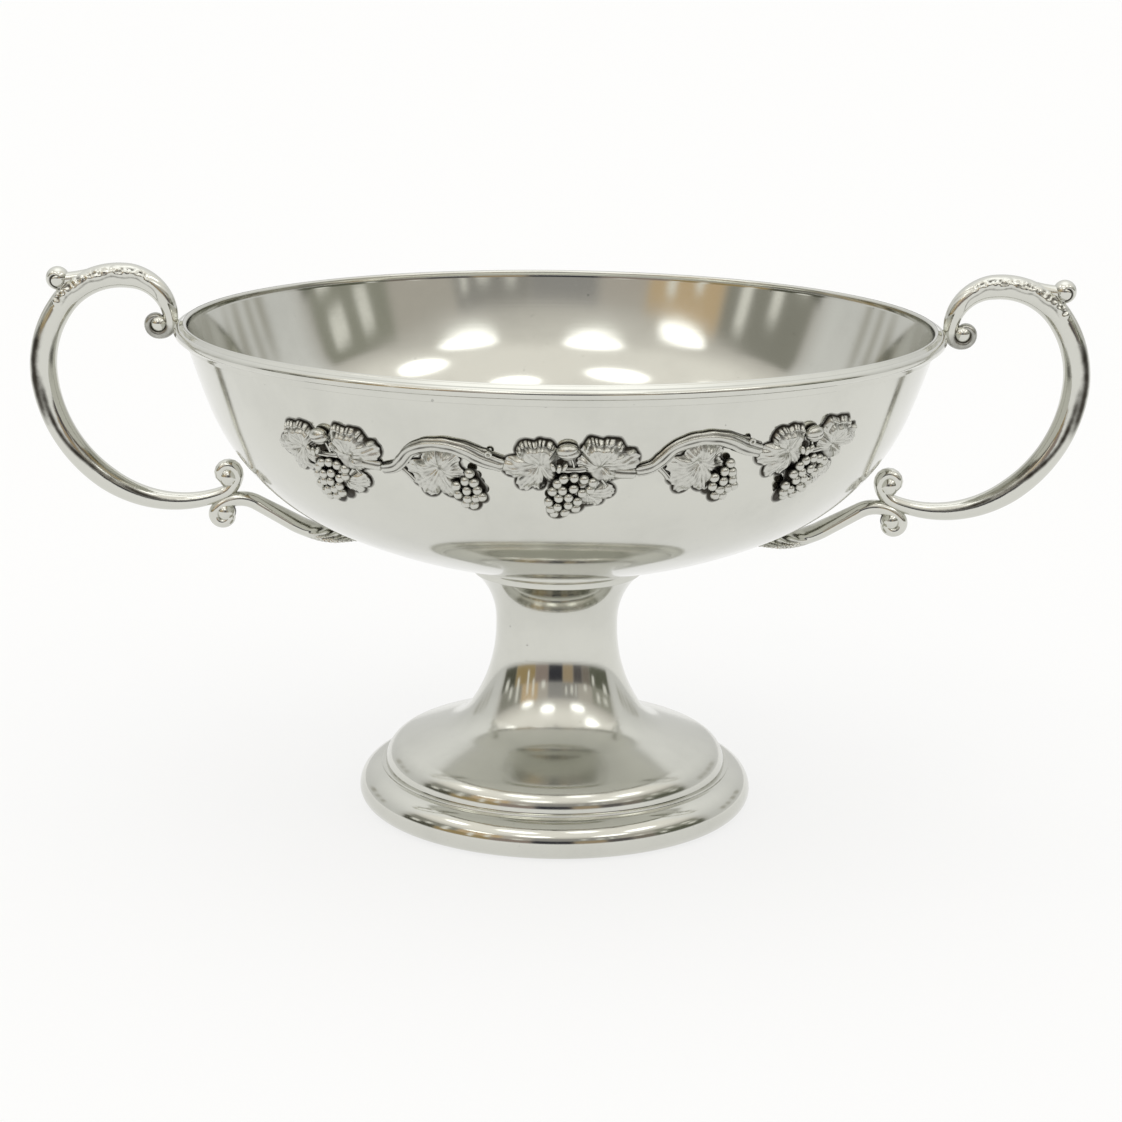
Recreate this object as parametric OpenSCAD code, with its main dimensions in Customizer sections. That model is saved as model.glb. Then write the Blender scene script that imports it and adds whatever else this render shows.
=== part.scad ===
// Footed compote bowl with two scroll handles and an applied grapevine on each face.
// Millimetres. Z is up, X runs through the handles, the front faces -Y, and the foot stands on Z = 0.
// Every spun piece is a true revolve of arcs; the cast scrolls and the vine are swept and carved meshes.

/* [Bowl] */
// Outer radius of the rim bead
rim_radius = 120; // [114:1:126]
// Thickness of the spun sheet
sheet = 1.2; // [1:0.1:1.5]

/* [Pedestal] */
// Radius of the stem at its waist
waist_radius = 19.5; // [18:0.5:21]
// Straight part of the stem at its waist
waist_height = 2; // [1:1:12]
// Radius of the foot where it is widest
foot_radius = 63.4; // [60:0.5:66]

/* [Handles] */
// Thickest radius of the handle rod
rod_radius = 4.5; // [4:0.1:5]
// Radius of the curled leaf tip that the thumb rests on
knob_radius = 3.3; // [3:0.1:3.7]

/* [Vine] */
// How far the leaves stand off the bowl
relief = 2.6; // [2:0.1:3]
// Radius of one grape
grape_radius = 1.32; // [1.2:0.02:1.4]
// Turn of the whole vine round the bowl, as it was soldered on
vine_turn = 1.8; // [-3:0.1:3]
// Angle from one cluster to the next
vine_pitch = 38; // [38:0.5:40]

/* [Hidden] */
// Solder film left between two pieces
film = 0.05;
// Foot moulding
ovolo = 7.2;
toe = 4.8;
foot_wall = 1.6;
toe_z = toe;
ovolo_c = [foot_radius - ovolo, toe_z];
toe_c = [foot_radius - toe, toe_z];
ledge_z = toe_z + ovolo + 0.8;
ledge_r = foot_radius - ovolo;
// Dome of the foot and flare of the stem, worked up from the ledge
dome_r = ledge_r - 1.2;
edge_round = 8;
edge_slope = 20.5;
dome = 320;
heel = 17;
skirt = 48;
skirt_turn = 32.8;
edge_c = [dome_r - edge_round, ledge_z];
dome_c = edge_c + (edge_round - dome) * up(edge_slope);
skirt_in = skirt * (1 - cos(skirt_turn));
// slope at which the dome meets the heel, so that the stem comes out at its waist radius
heel_slope = asin((waist_radius + skirt_in + heel * cos(skirt_turn) - dome_c[0]) / (dome + heel));
heel_c = dome_c + (dome + heel) * up(heel_slope);
heel_top = heel_c - heel * [cos(skirt_turn), sin(skirt_turn)];
skirt_c = heel_top + skirt * [cos(skirt_turn), sin(skirt_turn)];
waist_z = skirt_c[1];
flare = 22;
flare_turn = 46.7;
flare_z = waist_z + waist_height;
flare_c = [waist_radius + flare, flare_z];
stem_top = flare_c - flare * [cos(flare_turn), -sin(flare_turn)];
collar_r = stem_top[0] + 0.7;
// Bowl arcs: bottom, side and wall, each tangent to the next
size = rim_radius / 120;
bottom = 173.6 * size;
side = 66.95 * size;
wall = 230.2 * size;
side_from = 26.25;
wall_from = 68.78;
lip_at = 75.04;
bowl_z = stem_top[1] + 2.3;
bottom_c = [0, bowl_z + bottom];
side_c = bottom_c + (bottom - side) * out(side_from);
wall_c = side_c + (side - wall) * out(wall_from);
lip_c = wall_c + (wall - sheet / 2) * out(lip_at);
lip_round = sheet / 2 + 0.2;
bead_radius = 1.5 * size;
bead_c = [rim_radius - bead_radius, lip_c[1] - 1.7 * size];
band_low = bead_c[1] - 3.7 * size;
band_high = bead_c[1] - 0.5 * size;
band_out = 0.75;
// Handle and bracket, placed from the rim
grip_from = [rim_radius + 1.9, lip_c[1] - 1.5];
arm_from = [57.5 * size, bottom_c[1] - sqrt(pow(bottom, 2) - pow(57.5 * size, 2)) - 1.05];
// Vine
vine_base = -1;
under = 0.2;
$fn = 120;

// Unit vector out of a bowl arc whose surface has climbed to this slope
function out(a) = [sin(a), -cos(a)];

// Unit vector square to the top of the foot where it falls at this slope
function up(a) = [sin(a), cos(a)];

// Outer radius of the bowl wall at a height
function wall_r(z) = wall_c[0] + sqrt(pow(wall, 2) - pow(wall_c[1] - z, 2));

// Blend from a to b
function mix(a, b, t) = a + (b - a) * t;

// Line across a sheet where two arcs meet, long enough to cut both
function seam(c, r, d) = [c + (r - 6) * d, c + (r + 6) * d];

// Part of a round sheet between two seams; near and far are its radii, and d points at its middle
module arc_sheet(c, near, far, from, to, d) {
    intersection() {
        translate(c) difference() {
            circle(far);
            circle(near);
        }
        polygon([from[0], from[1], c + (far + 6) * d, to[1], to[0], c + (near - 6) * d]);
    }
}

// Outer solid of the bowl in section, grown by the solder film, used to cut what is soldered to it
module bowl_seat() {
    rotate_extrude($fn = 180) {
        seat_arc(bottom_c, bottom + film, 0, side_from);
        seat_arc(side_c, side + film, side_from, wall_from);
        seat_arc(wall_c, wall + film, wall_from, lip_at);
    }
}

module seat_arc(c, r, from, to) {
    n = 24;
    rim = [for (i = [0:n]) c + r * out(mix(from, to, i / n))];
    polygon(concat(rim, [[0, rim[n][1]], [0, rim[0][1]]]));
}

axis_seam = [[0, bowl_z + 6], [0, bowl_z - 6]];
bowl_seams = [axis_seam, seam(side_c, side, out(side_from)), seam(wall_c, wall, out(wall_from)),
              seam(wall_c, wall, out(lip_at))];

module bowl_shell() {
    color([0.86, 0.85, 0.82]) rotate_extrude() {
        arc_sheet(bottom_c, bottom - sheet, bottom, bowl_seams[0], bowl_seams[1], out(side_from / 2));
        arc_sheet(side_c, side - sheet, side, bowl_seams[1], bowl_seams[2],
                  out((side_from + wall_from) / 2));
        arc_sheet(wall_c, wall - sheet, wall, bowl_seams[2], bowl_seams[3],
                  out((wall_from + lip_at) / 2));
        translate(lip_c) circle(lip_round);
    }
}

// Bead over a plain band, drawn as one strip and soldered round the lip
module rim_section(grow) {
    translate(bead_c) circle(bead_radius + grow);
    low = wall_r(band_low);
    high = wall_r(band_high);
    polygon([[low + film - grow, band_low - grow], [low + band_out + grow, band_low - grow],
             [high + band_out + grow, band_high], [high + film - grow, band_high]]);
}

module rim_moulding() {
    color([0.86, 0.85, 0.82]) rotate_extrude() rim_section(0);
}

module rim_seat() {
    rotate_extrude($fn = 180) rim_section(film, $fn = 16);
}

// Underside of the bowl at a radius
function bowl_under(r) = bottom_c[1] - sqrt(pow(bottom, 2) - pow(r, 2));

// Low flange that joins the stem to the bowl; its top follows the bowl in short steps
module stem_collar() {
    hole = 12;
    brim = collar_r + 0.9;
    color([0.86, 0.85, 0.82]) rotate_extrude() polygon(concat(
        [[hole, stem_top[1]], [collar_r - 0.7, stem_top[1]], [collar_r, stem_top[1] + 0.7],
         [collar_r, stem_top[1] + 2.2], [brim, stem_top[1] + 3.2]],
        [for (i = [0:4]) let (r = mix(brim, hole, i / 4)) [r, bowl_under(r) - film]]));
}

// Spun trumpet: flare, waist, skirt, heel, dome and its turned-down edge
function toward(a) = [-cos(a), -sin(a)];
top_seam = [[stem_top[0] - 8, stem_top[1]], [stem_top[0] + 8, stem_top[1]]];
waist_top = [[waist_radius - 6, flare_z], [waist_radius + 6, flare_z]];
waist_low = [[waist_radius - 6, waist_z], [waist_radius + 6, waist_z]];
skirt_seam = seam(heel_c, heel, toward(skirt_turn));
heel_seam = seam(heel_c, heel, toward(90 - heel_slope));
edge_seam = [edge_c, edge_c + 2 * edge_round * up(edge_slope)];
lip_seam = [edge_c, edge_c + [2 * edge_round, 0]];

module pedestal() {
    color([0.86, 0.85, 0.82]) rotate_extrude() {
        arc_sheet(flare_c, flare, flare + sheet, [top_seam[1], top_seam[0]], [waist_top[1], waist_top[0]],
                  toward(-flare_turn / 2));
        translate([waist_radius - sheet, waist_z]) square([sheet, waist_height]);
        arc_sheet(skirt_c, skirt, skirt + sheet, [waist_low[1], waist_low[0]], skirt_seam,
                  toward(skirt_turn / 2));
        arc_sheet(heel_c, heel, heel + sheet, skirt_seam, heel_seam,
                  toward((skirt_turn + 90 - heel_slope) / 2));
        arc_sheet(dome_c, dome - sheet, dome, [heel_seam[1], heel_seam[0]], edge_seam,
                  up((heel_slope + edge_slope) / 2));
        intersection() {
            translate(edge_c) difference() {
                circle(edge_round);
                circle(edge_round - sheet);
            }
            polygon([edge_c, edge_seam[1], edge_c + 2 * edge_round * [1, 1], lip_seam[1]]);
        }
    }
}

// Stepped base moulding: a thin drawn ring with a flat foot to stand on
module foot_moulding() {
    color([0.86, 0.85, 0.82]) rotate_extrude() {
        difference() {
            union() {
                intersection() {
                    translate(ovolo_c) circle(ovolo);
                    translate(ovolo_c) square(2 * ovolo);
                }
                intersection() {
                    translate(toe_c) circle(toe);
                    translate(toe_c - [0, 2 * toe]) square(2 * toe);
                }
                translate([ovolo_c[0] - 3.6, toe_z]) square([3.6, ledge_z - toe_z]);
                translate([ovolo_c[0] - 1.4, 0]) square([toe_c[0] - ovolo_c[0] + 1.4, toe_z]);
            }
            intersection() {
                translate(ovolo_c) circle(ovolo - foot_wall);
                translate(ovolo_c) square(2 * ovolo);
            }
            intersection() {
                translate(toe_c) circle(toe - foot_wall);
                translate(toe_c - [0, 2 * toe]) square(2 * toe);
            }
            translate([ovolo_c[0] - 4, foot_wall]) square([toe_c[0] - ovolo_c[0] + 4, toe_z - foot_wall]);
            translate([ovolo_c[0] - 4, toe_z - 1]) square([4, ovolo - foot_wall + 1]);
        }
    }
}

// Walk along a chain of arcs. Each step is [radius, turn, end thickness, end width, points].
// A turn is to the right, a negative radius turns left, and a zero radius runs straight for that length.
function walk(steps, p, h, s, i = 0) =
    i >= len(steps) ? [] :
    let (
        d = steps[i],
        n = d[4],
        left = d[0] < 0 ? -1 : 1,
        r = abs(d[0]) * size,
        c = p + left * r * [sin(h), -cos(h)],
        run = [for (k = [1:n]) let (t = k / n, a = h - left * d[1] * t)
            [d[0] == 0 ? p + d[1] * size * t * [cos(h), sin(h)] : c + left * r * [-sin(a), cos(a)],
             d[0] == 0 ? h : a, mix(s[0], d[2], t), mix(s[1], d[3], t)]],
        e = run[n - 1]
    )
    concat(run, walk(steps, e[0], e[1], [e[2], e[3]], i + 1));

// Directions along a walked path and square to it
function forward(q) = [cos(q[1]), sin(q[1])];
function normal(q) = [-sin(q[1]), cos(q[1])];

// Oval rod along a walked path in the XZ plane
module rod(path, sides = 10) {
    n = len(path);
    points = [for (q = path) for (k = [0:sides - 1]) let (f = 360 * (k + 0.5) / sides,
        m = q[2] * cos(f), y = q[3] * sin(f))
        [q[0][0] - m * sin(q[1]), y, q[0][1] + m * cos(q[1])]];
    skin = [for (i = [0:n - 2]) for (k = [0:sides - 1])
        let (a = i * sides + k, b = i * sides + (k + 1) % sides)
        each [[a, b, b + sides], [a, b + sides, a + sides]]];
    ends = [[for (k = [0:sides - 1]) sides - 1 - k], [for (k = [0:sides - 1]) (n - 1) * sides + k]];
    polyhedron(points, concat(skin, ends));
}

module ball(p, r, y = 0, n = 10) {
    translate([p[0], y, p[1]]) sphere(r, $fn = n);
}

// The C-scroll from the heart of its upper volute, over the top, and down to its lower volute
function grip_path() =
    let (
        big = rod_radius,
        volute = walk([[-4.0, 90, 1.6, 1.6, 4], [-3.2, 90, 1.5, 1.5, 4], [-2.4, 90, 1.2, 1.3, 4],
                       [-1.6, 90, 1.1, 1.2, 3]], grip_from, -90, [2.3, 2.2]),
        curl = [for (i = [len(volute) - 1:-1:0]) let (q = volute[i]) [q[0], q[1] + 180, q[2], q[3]]],
        grip = walk([[14.4, 83, big * 0.88, big * 0.84, 8], [23.4, 61, big * 0.95, big * 0.9, 6],
                     [33.4, 43, big, big * 0.95, 5], [45.6, 48, big * 0.88, big * 0.86, 6],
                     [38.7, 57, 2.3, 2.3, 7], [7.2, 66, 2.2, 2.2, 5],
                     [2.7, 175, 1.8, 1.9, 8], [1.7, 130, 1.2, 1.4, 5]],
                    grip_from, 90, [2.3, 2.2])
    )
    concat(curl, [[grip_from, 90, 2.3, 2.2]], grip);

// One handle, for +X
module handle() {
    path = grip_path();
    n = len(path);
    top = [for (i = [16:29]) path[i]];
    // curled leaf tip for the thumb
    lift = grip_from + size * [35.5, 13.6];
    color([0.84, 0.83, 0.80]) union() difference() {
        union() {
            rod(path);
            ball(path[0][0] + [0.6, -0.5], 1.5);
            ball(path[n - 1][0], 1.5);
            hull() {
                ball(path[26][0] + [0.5, 1.6], 2.4, n = 8);
                ball(lift - [2.2, 0.6], 1.5, n = 8);
            }
            ball(lift, knob_radius, n = 12);
            // leaf wrapped over the rod: lobes down both flanks
            for (i = [1:2:11]) for (s = [-1, 1]) let (q = top[i], m = normal(q), f = forward(q))
                hull() {
                    ball(q[0] + 0.72 * q[2] * m - 1.4 * f, 1.1, s * q[3] * 0.72, 5);
                    ball(q[0] + 0.1 * q[2] * m + 1.0 * f, 0.7, s * q[3] * 0.98, 5);
                }
        }
        rim_seat();
        bowl_seat();
    }
}

// S-scroll arm under the bowl, ending in a fluted leaf
function arm_path() = concat([[arm_from, 0, 1.1, 3.2]],
    walk([[0, 11.5, 2.4, 6.0, 3], [-30, 31, 2.7, 5.2, 4], [0, 10.5, 2.5, 2.7, 3], [10.5, 81, 2.1, 2.2, 6],
          [0, 1.8, 1.9, 2.0, 1], [2.5, 190, 1.5, 1.6, 7], [1.5, 120, 1.1, 1.2, 4]],
         arm_from, 0, [1.1, 3.2]));

module bracket() {
    path = arm_path();
    grip = grip_path();
    n = len(path);
    color([0.84, 0.83, 0.80]) union() difference() {
        union() {
            rod(path);
            ball(path[n - 1][0], 1.5);
            for (i = [2:6]) for (s = [-1, 1]) let (q = path[i], m = normal(q), f = forward(q))
                hull() {
                    ball(q[0] + 0.35 * q[2] * m + 2.6 * f, 0.9, s * q[3] * 0.86, 5);
                    ball(q[0] - 0.75 * q[2] * m - 0.8 * f, 0.8, s * q[3] * 0.4, 5);
                }
        }
        bowl_seat();
        rod([for (i = [len(grip) - 26:len(grip) - 9]) let (q = grip[i])
            [q[0], q[1], q[2] + film, q[3] + film]]);
    }
}

module handle_right() handle();
module handle_left() mirror([1, 0, 0]) handle();
module handle_bracket_right() bracket();
module handle_bracket_left() mirror([1, 0, 0]) bracket();

// A point of the vine: u round the bowl, v up its wall, h off its surface
function on_bowl(u, v, h) =
    let (
        high = v >= 0,
        r = high ? wall : side,
        c = high ? wall_c : side_c,
        a = wall_from + v / r * 180 / PI,
        p = c + (r + h) * out(a),
        t = u / 110 * 180 / PI
    )
    [p[0] * sin(t), -p[0] * cos(t), p[1]];

// Reach of a leaf from its stalk in a direction: rounded lobes with small teeth
function reach(f, lobes) = max([for (l = lobes) let (d = abs((f - l[0] + 540) % 360 - 180))
    d < l[2] ? l[1] * pow(cos(90 * d / l[2]), 0.7) : 0]);
function leaf_r(f, lobes, teeth) =
    max(0.34 * max([for (l = lobes) l[1]]), reach(f, lobes)) * (1 + teeth * cos(f * 15));

// A veined leaf, spread from the stalk at (u, v); each lobe is [direction, length, half angle]
module leaf(u, v, lobes, high, teeth = 0.05, n = 22) {
    stops = [0.5, 0.93];
    fs = [for (k = [0:n - 1]) 360 * k / n];
    vein = [for (f = fs) max([for (l = lobes) let (d = abs((f - l[0] + 540) % 360 - 180))
        d < 16 ? 1 - d / 16 : 0])];
    ring = [for (k = [0:n - 1]) leaf_r(fs[k], lobes, teeth)];
    points = concat(
        [on_bowl(u, v, high * 0.62), on_bowl(u, v, under)],
        [for (j = [0, 1]) for (k = [0:n - 1])
            on_bowl(u + stops[j] * ring[k] * cos(fs[k]), v + stops[j] * ring[k] * sin(fs[k]),
                    high * (j == 0 ? 0.78 + 0.22 * vein[k] : 0.95 - 0.25 * vein[k]))],
        [for (k = [0:n - 1]) on_bowl(u + ring[k] * cos(fs[k]), v + ring[k] * sin(fs[k]), under)]);
    faces = [for (k = [0:n - 1]) let (l = (k + 1) % n, a = 2 + k, b = 2 + l)
        each [[0, b, a], [a, b, b + n], [a, b + n, a + n], [a + n, b + n, b + 2 * n],
              [a + n, b + 2 * n, a + 2 * n], [1, a + 2 * n, b + 2 * n]]];
    polyhedron(points, faces);
}

// A grape, sunk into the backing of its bunch
module grape(u, v, h, r) {
    hull() {
        translate(on_bowl(u, v, h)) rotate([20, 0, 15]) sphere(r, $fn = 6);
    }
}

// A run of vine stalk through points [u, v, radius]
module stalk(run, sides = 6) {
    n = len(run);
    points = [for (i = [0:n - 1])
        let (a = run[max(i - 1, 0)], b = run[min(i + 1, n - 1)], q = run[i],
             way = [b[0] - a[0], b[1] - a[1]], d = way / norm(way))
        for (k = [0:sides - 1]) let (f = 180 * k / (sides - 1))
        on_bowl(q[0] - d[1] * q[2] * cos(f), q[1] + d[0] * q[2] * cos(f), under + 1.5 * q[2] * sin(f))];
    skin = [for (i = [0:n - 2]) for (k = [0:sides - 1])
        let (a = i * sides + k, b = i * sides + (k + 1) % sides)
        each [[a, b + sides, b], [a, a + sides, b + sides]]];
    ends = [[for (k = [0:sides - 1]) k], [for (k = [0:sides - 1]) (n - 1) * sides + sides - 1 - k]];
    polyhedron(points, concat(skin, ends));
}

// Large casting: two leaves, a bud, a hanging bunch and a small leaf beside it
module cluster(turn, dv) {
    v = vine_base + dv + 1;
    g = grape_radius;
    // each row of the bunch: height, grapes, spacing, lift and sideways drift
    rows = [[-1.5, 4, 2.5, 1.5, 1.6], [-4.4, 4, 2.6, 1.8, 0.2], [-7.2, 3, 2.7, 1.9, -0.5],
            [-9.9, 3, 2.5, 1.6, -1.4], [-12.5, 2, 2.5, 1.4, -3.0]];
    color([0.80, 0.79, 0.75]) rotate([0, 0, turn]) union() {
        leaf(-8.6, v + 2.6, [[165, 10.2, 44], [92, 8.2, 44], [232, 9.2, 36], [292, 7.4, 34], [25, 4.2, 40]],
             relief);
        leaf(8.0, v + 2.2, [[112, 9.6, 34], [58, 10.0, 36], [12, 11.2, 40], [320, 5.4, 40], [165, 6.6, 36]],
             relief);
        leaf(4.6, v - 6.9, [[0, 7.8, 40], [318, 5.4, 38], [50, 3.6, 36]], relief * 0.72, n = 14);
        hull() {
            translate(on_bowl(-1.3, v + 7.1, under + 1.6)) sphere(1.6, $fn = 8);
            translate(on_bowl(-1.3, v + 8.6, under + 0.6)) sphere(0.5, $fn = 6);
        }
        stalk([[-1.2, v + 6.9, 0.8], [0.2, v + 3.6, 0.7], [0.9, v + 0.2, 0.7]], 5);
        stalk([[-8.6, v + 2.6, 1.2], [-4.4, v + 0.9, 1.3], [0.6, v + 0.3, 1.2], [8.0, v + 2.0, 1.2]], 5);
        stalk([[9.0, v - 0.6, 1.2], [13.6, v - 0.8, 1.2], [18.6, v - 0.9, 1.1]], 5);
        leaf(-0.6, v - 5.6, [[60, 6.4, 50], [130, 5.0, 50], [180, 4.4, 50], [248, 9.6, 34], [300, 5.6, 50],
                             [0, 4.6, 50]], 1.1, teeth = 0, n = 12);
        for (q = rows) for (k = [0:q[1] - 1])
            grape(q[4] + (k - (q[1] - 1) / 2) * q[2], v + q[0] + (q[1] > 3 ? 0.4 * (k % 2) : 0), under + q[3], g);
    }
}

// Small casting: a branch arched over one five-lobed leaf, with a few grapes
module link(turn, dv) {
    v = vine_base + dv + 1;
    color([0.80, 0.79, 0.75]) rotate([0, 0, turn]) union() {
        stalk([for (i = [0:11]) let (t = i / 11, u = mix(-17.2, 17.0, t))
            [u, v + mix(-2.8, 0.9, t) + 8.0 * pow(sin(180 * min(1, t * 1.04)), 1.5), mix(1.0, 1.9, t)]]);
        stalk([[0.4, v + 6.2, 0.8], [0.0, v + 2.6, 0.8], [-0.4, v - 0.4, 0.9]], 5);
        stalk([[6.5, v + 6.4, 0.9], [11.0, v + 4.6, 0.9], [14.4, v + 4.4, 0.9]], 5);
        leaf(-0.4, v - 0.8, [[128, 6.2, 34], [48, 6.6, 36], [185, 9.2, 34], [238, 10.0, 36], [290, 9.6, 40],
                             [345, 6.6, 34]], relief * 0.9);
        leaf(7.5, v - 5.6, [[70, 5.2, 50], [140, 4.2, 50], [230, 4.6, 45], [275, 6.8, 40], [340, 4.0, 50]],
             1.0, teeth = 0, n = 12);
        for (p = [[8.6, -1.2], [6.6, -3.4], [9.4, -4.2], [4.9, -6.0], [7.6, -6.6], [10.3, -7.0],
                  [5.2, -8.8], [8.1, -9.4], [8.6, -11.6]])
            grape(p[0], v + p[1], under + 1.45, grape_radius);
    }
}

front = vine_turn;
back = vine_turn + 180;
module vine_cluster_front_left() cluster(front - vine_pitch, -1);
module vine_link_front_left() link(front - vine_pitch / 2, 0);
module vine_cluster_front_centre() cluster(front, 0);
module vine_link_front_right() link(front + vine_pitch / 2, 2.6);
module vine_cluster_front_right() cluster(front + vine_pitch, 1.3);
module vine_cluster_back_left() cluster(back - vine_pitch, -1);
module vine_link_back_left() link(back - vine_pitch / 2, 0);
module vine_cluster_back_centre() cluster(back, 0);
module vine_link_back_right() link(back + vine_pitch / 2, 2.6);
module vine_cluster_back_right() cluster(back + vine_pitch, 1.3);

bowl_shell();
rim_moulding();
stem_collar();
pedestal();
foot_moulding();
handle_left();
handle_right();
handle_bracket_left();
handle_bracket_right();
vine_cluster_front_left();
vine_link_front_left();
vine_cluster_front_centre();
vine_link_front_right();
vine_cluster_front_right();
vine_cluster_back_left();
vine_link_back_left();
vine_cluster_back_centre();
vine_link_back_right();
vine_cluster_back_right();
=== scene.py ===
"""Footed compote bowl in polished silver plate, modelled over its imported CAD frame."""

import math

import bpy
from mathutils import Euler, Matrix, Vector, noise


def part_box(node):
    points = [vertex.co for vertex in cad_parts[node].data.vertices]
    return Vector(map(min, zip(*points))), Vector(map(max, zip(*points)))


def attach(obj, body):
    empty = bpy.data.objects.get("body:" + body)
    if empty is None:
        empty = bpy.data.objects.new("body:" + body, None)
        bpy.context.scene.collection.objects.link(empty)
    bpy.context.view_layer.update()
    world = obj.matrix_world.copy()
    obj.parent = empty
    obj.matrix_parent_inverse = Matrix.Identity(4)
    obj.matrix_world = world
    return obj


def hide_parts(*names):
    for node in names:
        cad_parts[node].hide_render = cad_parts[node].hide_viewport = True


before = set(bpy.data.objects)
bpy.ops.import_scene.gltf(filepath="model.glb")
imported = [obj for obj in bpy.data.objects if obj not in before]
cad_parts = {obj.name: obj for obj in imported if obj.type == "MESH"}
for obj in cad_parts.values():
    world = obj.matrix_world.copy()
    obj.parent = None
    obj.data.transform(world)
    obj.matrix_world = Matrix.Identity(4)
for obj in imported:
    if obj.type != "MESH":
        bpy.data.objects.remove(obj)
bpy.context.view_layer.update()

bl_info = {
    "name": "Footed compote bowl",
    "version": (1, 0, 0),
    "blender": (4, 5, 0),
    "location": "View3D > Sidebar > Compote",
    "description": "Builds a silver-plated compote bowl with scroll handles and an applied grapevine",
    "category": "Object",
}

MM = 0.001
CAST_WELD = 2e-6
CAST_ANGLE = 60


# Properties


class BowlSizes(bpy.types.PropertyGroup):
    """Sizes of the spun pieces."""

    rim_radius: bpy.props.FloatProperty(
        name="Rim radius", description="Outer radius of the rim bead",
        default=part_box("rim_moulding")[1].y - 0.00002, min=0.1, max=0.14, subtype="DISTANCE", unit="LENGTH")
    sheet: bpy.props.FloatProperty(
        name="Sheet", description="Thickness of the spun sheet",
        default=0.0012, min=0.0008, max=0.002, subtype="DISTANCE", unit="LENGTH")
    waist_radius: bpy.props.FloatProperty(
        name="Waist radius", description="Radius of the stem at its waist",
        default=0.0195, min=0.015, max=0.024, subtype="DISTANCE", unit="LENGTH")
    foot_radius: bpy.props.FloatProperty(
        name="Foot radius", description="Radius of the foot where it is widest",
        default=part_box("foot_moulding")[1].x, min=0.055, max=0.07, subtype="DISTANCE", unit="LENGTH")


class ScrollSizes(bpy.types.PropertyGroup):
    """Sizes of the cast handles and their brackets."""

    rod_radius: bpy.props.FloatProperty(
        name="Rod radius", description="Thickest radius of the handle rod",
        default=0.0045, min=0.003, max=0.006, subtype="DISTANCE", unit="LENGTH")
    knob_radius: bpy.props.FloatProperty(
        name="Thumb curl radius", description="Radius of the curled leaf tip on top of a handle",
        default=0.0037, min=0.002, max=0.005, subtype="DISTANCE", unit="LENGTH")
    leaf_lift: bpy.props.FloatProperty(
        name="Leaf thickness", description="How far the wrapped leaf stands off the rod",
        default=0.0004, min=0.0, max=0.001, subtype="DISTANCE", unit="LENGTH")


class VineSizes(bpy.types.PropertyGroup):
    """Sizes of the applied grapevine."""

    relief: bpy.props.FloatProperty(
        name="Relief", description="How far the leaves stand off the bowl",
        default=0.0026, min=0.001, max=0.004, subtype="DISTANCE", unit="LENGTH")
    grape_radius: bpy.props.FloatProperty(
        name="Grape radius", description="Radius of one grape",
        default=0.00146, min=0.001, max=0.002, subtype="DISTANCE", unit="LENGTH")
    turn: bpy.props.FloatProperty(
        name="Turn", description="Turn of the whole vine round the bowl",
        default=math.radians(1.8), subtype="ANGLE", unit="ROTATION")
    pitch: bpy.props.FloatProperty(
        name="Pitch", description="Angle from one cluster to the next",
        default=math.radians(38), subtype="ANGLE", unit="ROTATION")


class Finishes(bpy.types.PropertyGroup):
    """Colours and polish of the silver."""

    silver: bpy.props.FloatVectorProperty(
        name="Silver", description="Colour of the polished plate",
        default=(0.64, 0.64, 0.59), size=3, min=0, max=1, subtype="COLOR")
    # Dark colour of the oxide in the hollows, also used for painted shade and painted reflections on the
    # castings.
    tarnish_and_shade: bpy.props.FloatVectorProperty(
        name="Tarnish", description="Colour of the oxidised hollows",
        default=(0.05, 0.045, 0.036), size=3, min=0, max=1, subtype="COLOR")
    polish: bpy.props.FloatProperty(
        name="Roughness", description="Roughness of the polished plate",
        default=0.1, min=0.0, max=0.5, subtype="FACTOR")


class StageSettings(bpy.types.PropertyGroup):
    """Camera and light tent."""

    lens: bpy.props.FloatProperty(
        name="Focal length", description="Focal length on a 36 mm sensor",
        default=82.6, min=20, max=200, unit="CAMERA")
    distance: bpy.props.FloatProperty(
        name="Camera distance", description="Distance of the camera in front of the axis",
        default=0.8, min=0.3, max=3, subtype="DISTANCE", unit="LENGTH")
    height: bpy.props.FloatProperty(
        name="Camera height", description="Height of the camera over the floor",
        default=0.278, min=0.0, max=2, subtype="DISTANCE", unit="LENGTH")
    pitch: bpy.props.FloatProperty(
        name="Pitch", description="How far the camera looks down",
        default=math.radians(13.97), subtype="ANGLE", unit="ROTATION")
    roll: bpy.props.FloatProperty(
        name="Roll", description="Lean of the camera",
        default=math.radians(0.78), subtype="ANGLE", unit="ROTATION")
    floor: bpy.props.FloatVectorProperty(
        name="Floor", description="Colour of the pale floor",
        default=(0.90, 0.90, 0.89), size=3, min=0, max=1, subtype="COLOR")
    whiten: bpy.props.FloatProperty(
        name="Whiten", description="How far the seen floor is lifted from its shaded colour to white",
        default=0.74, min=0.0, max=1.0, subtype="FACTOR")
    tent: bpy.props.FloatProperty(
        name="Tent brightness", description="Brightness of the white cloth behind and over the bowl",
        default=0.95, min=0.0, max=3)


class CompoteSettings(bpy.types.PropertyGroup):
    """All that a user would change."""

    bowl: bpy.props.PointerProperty(type=BowlSizes, name="Bowl", description="Spun pieces")
    scroll: bpy.props.PointerProperty(type=ScrollSizes, name="Scrolls", description="Handles and brackets")
    vine: bpy.props.PointerProperty(type=VineSizes, name="Vine", description="Applied grapevine")
    finish: bpy.props.PointerProperty(type=Finishes, name="Finish", description="Silver finishes")
    stage: bpy.props.PointerProperty(type=StageSettings, name="Stage", description="Camera and light")


def settings():
    return bpy.context.scene.compote


# Small sums, in millimetres and degrees


def sind(a):
    return math.sin(math.radians(a))


def cosd(a):
    return math.cos(math.radians(a))


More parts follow.
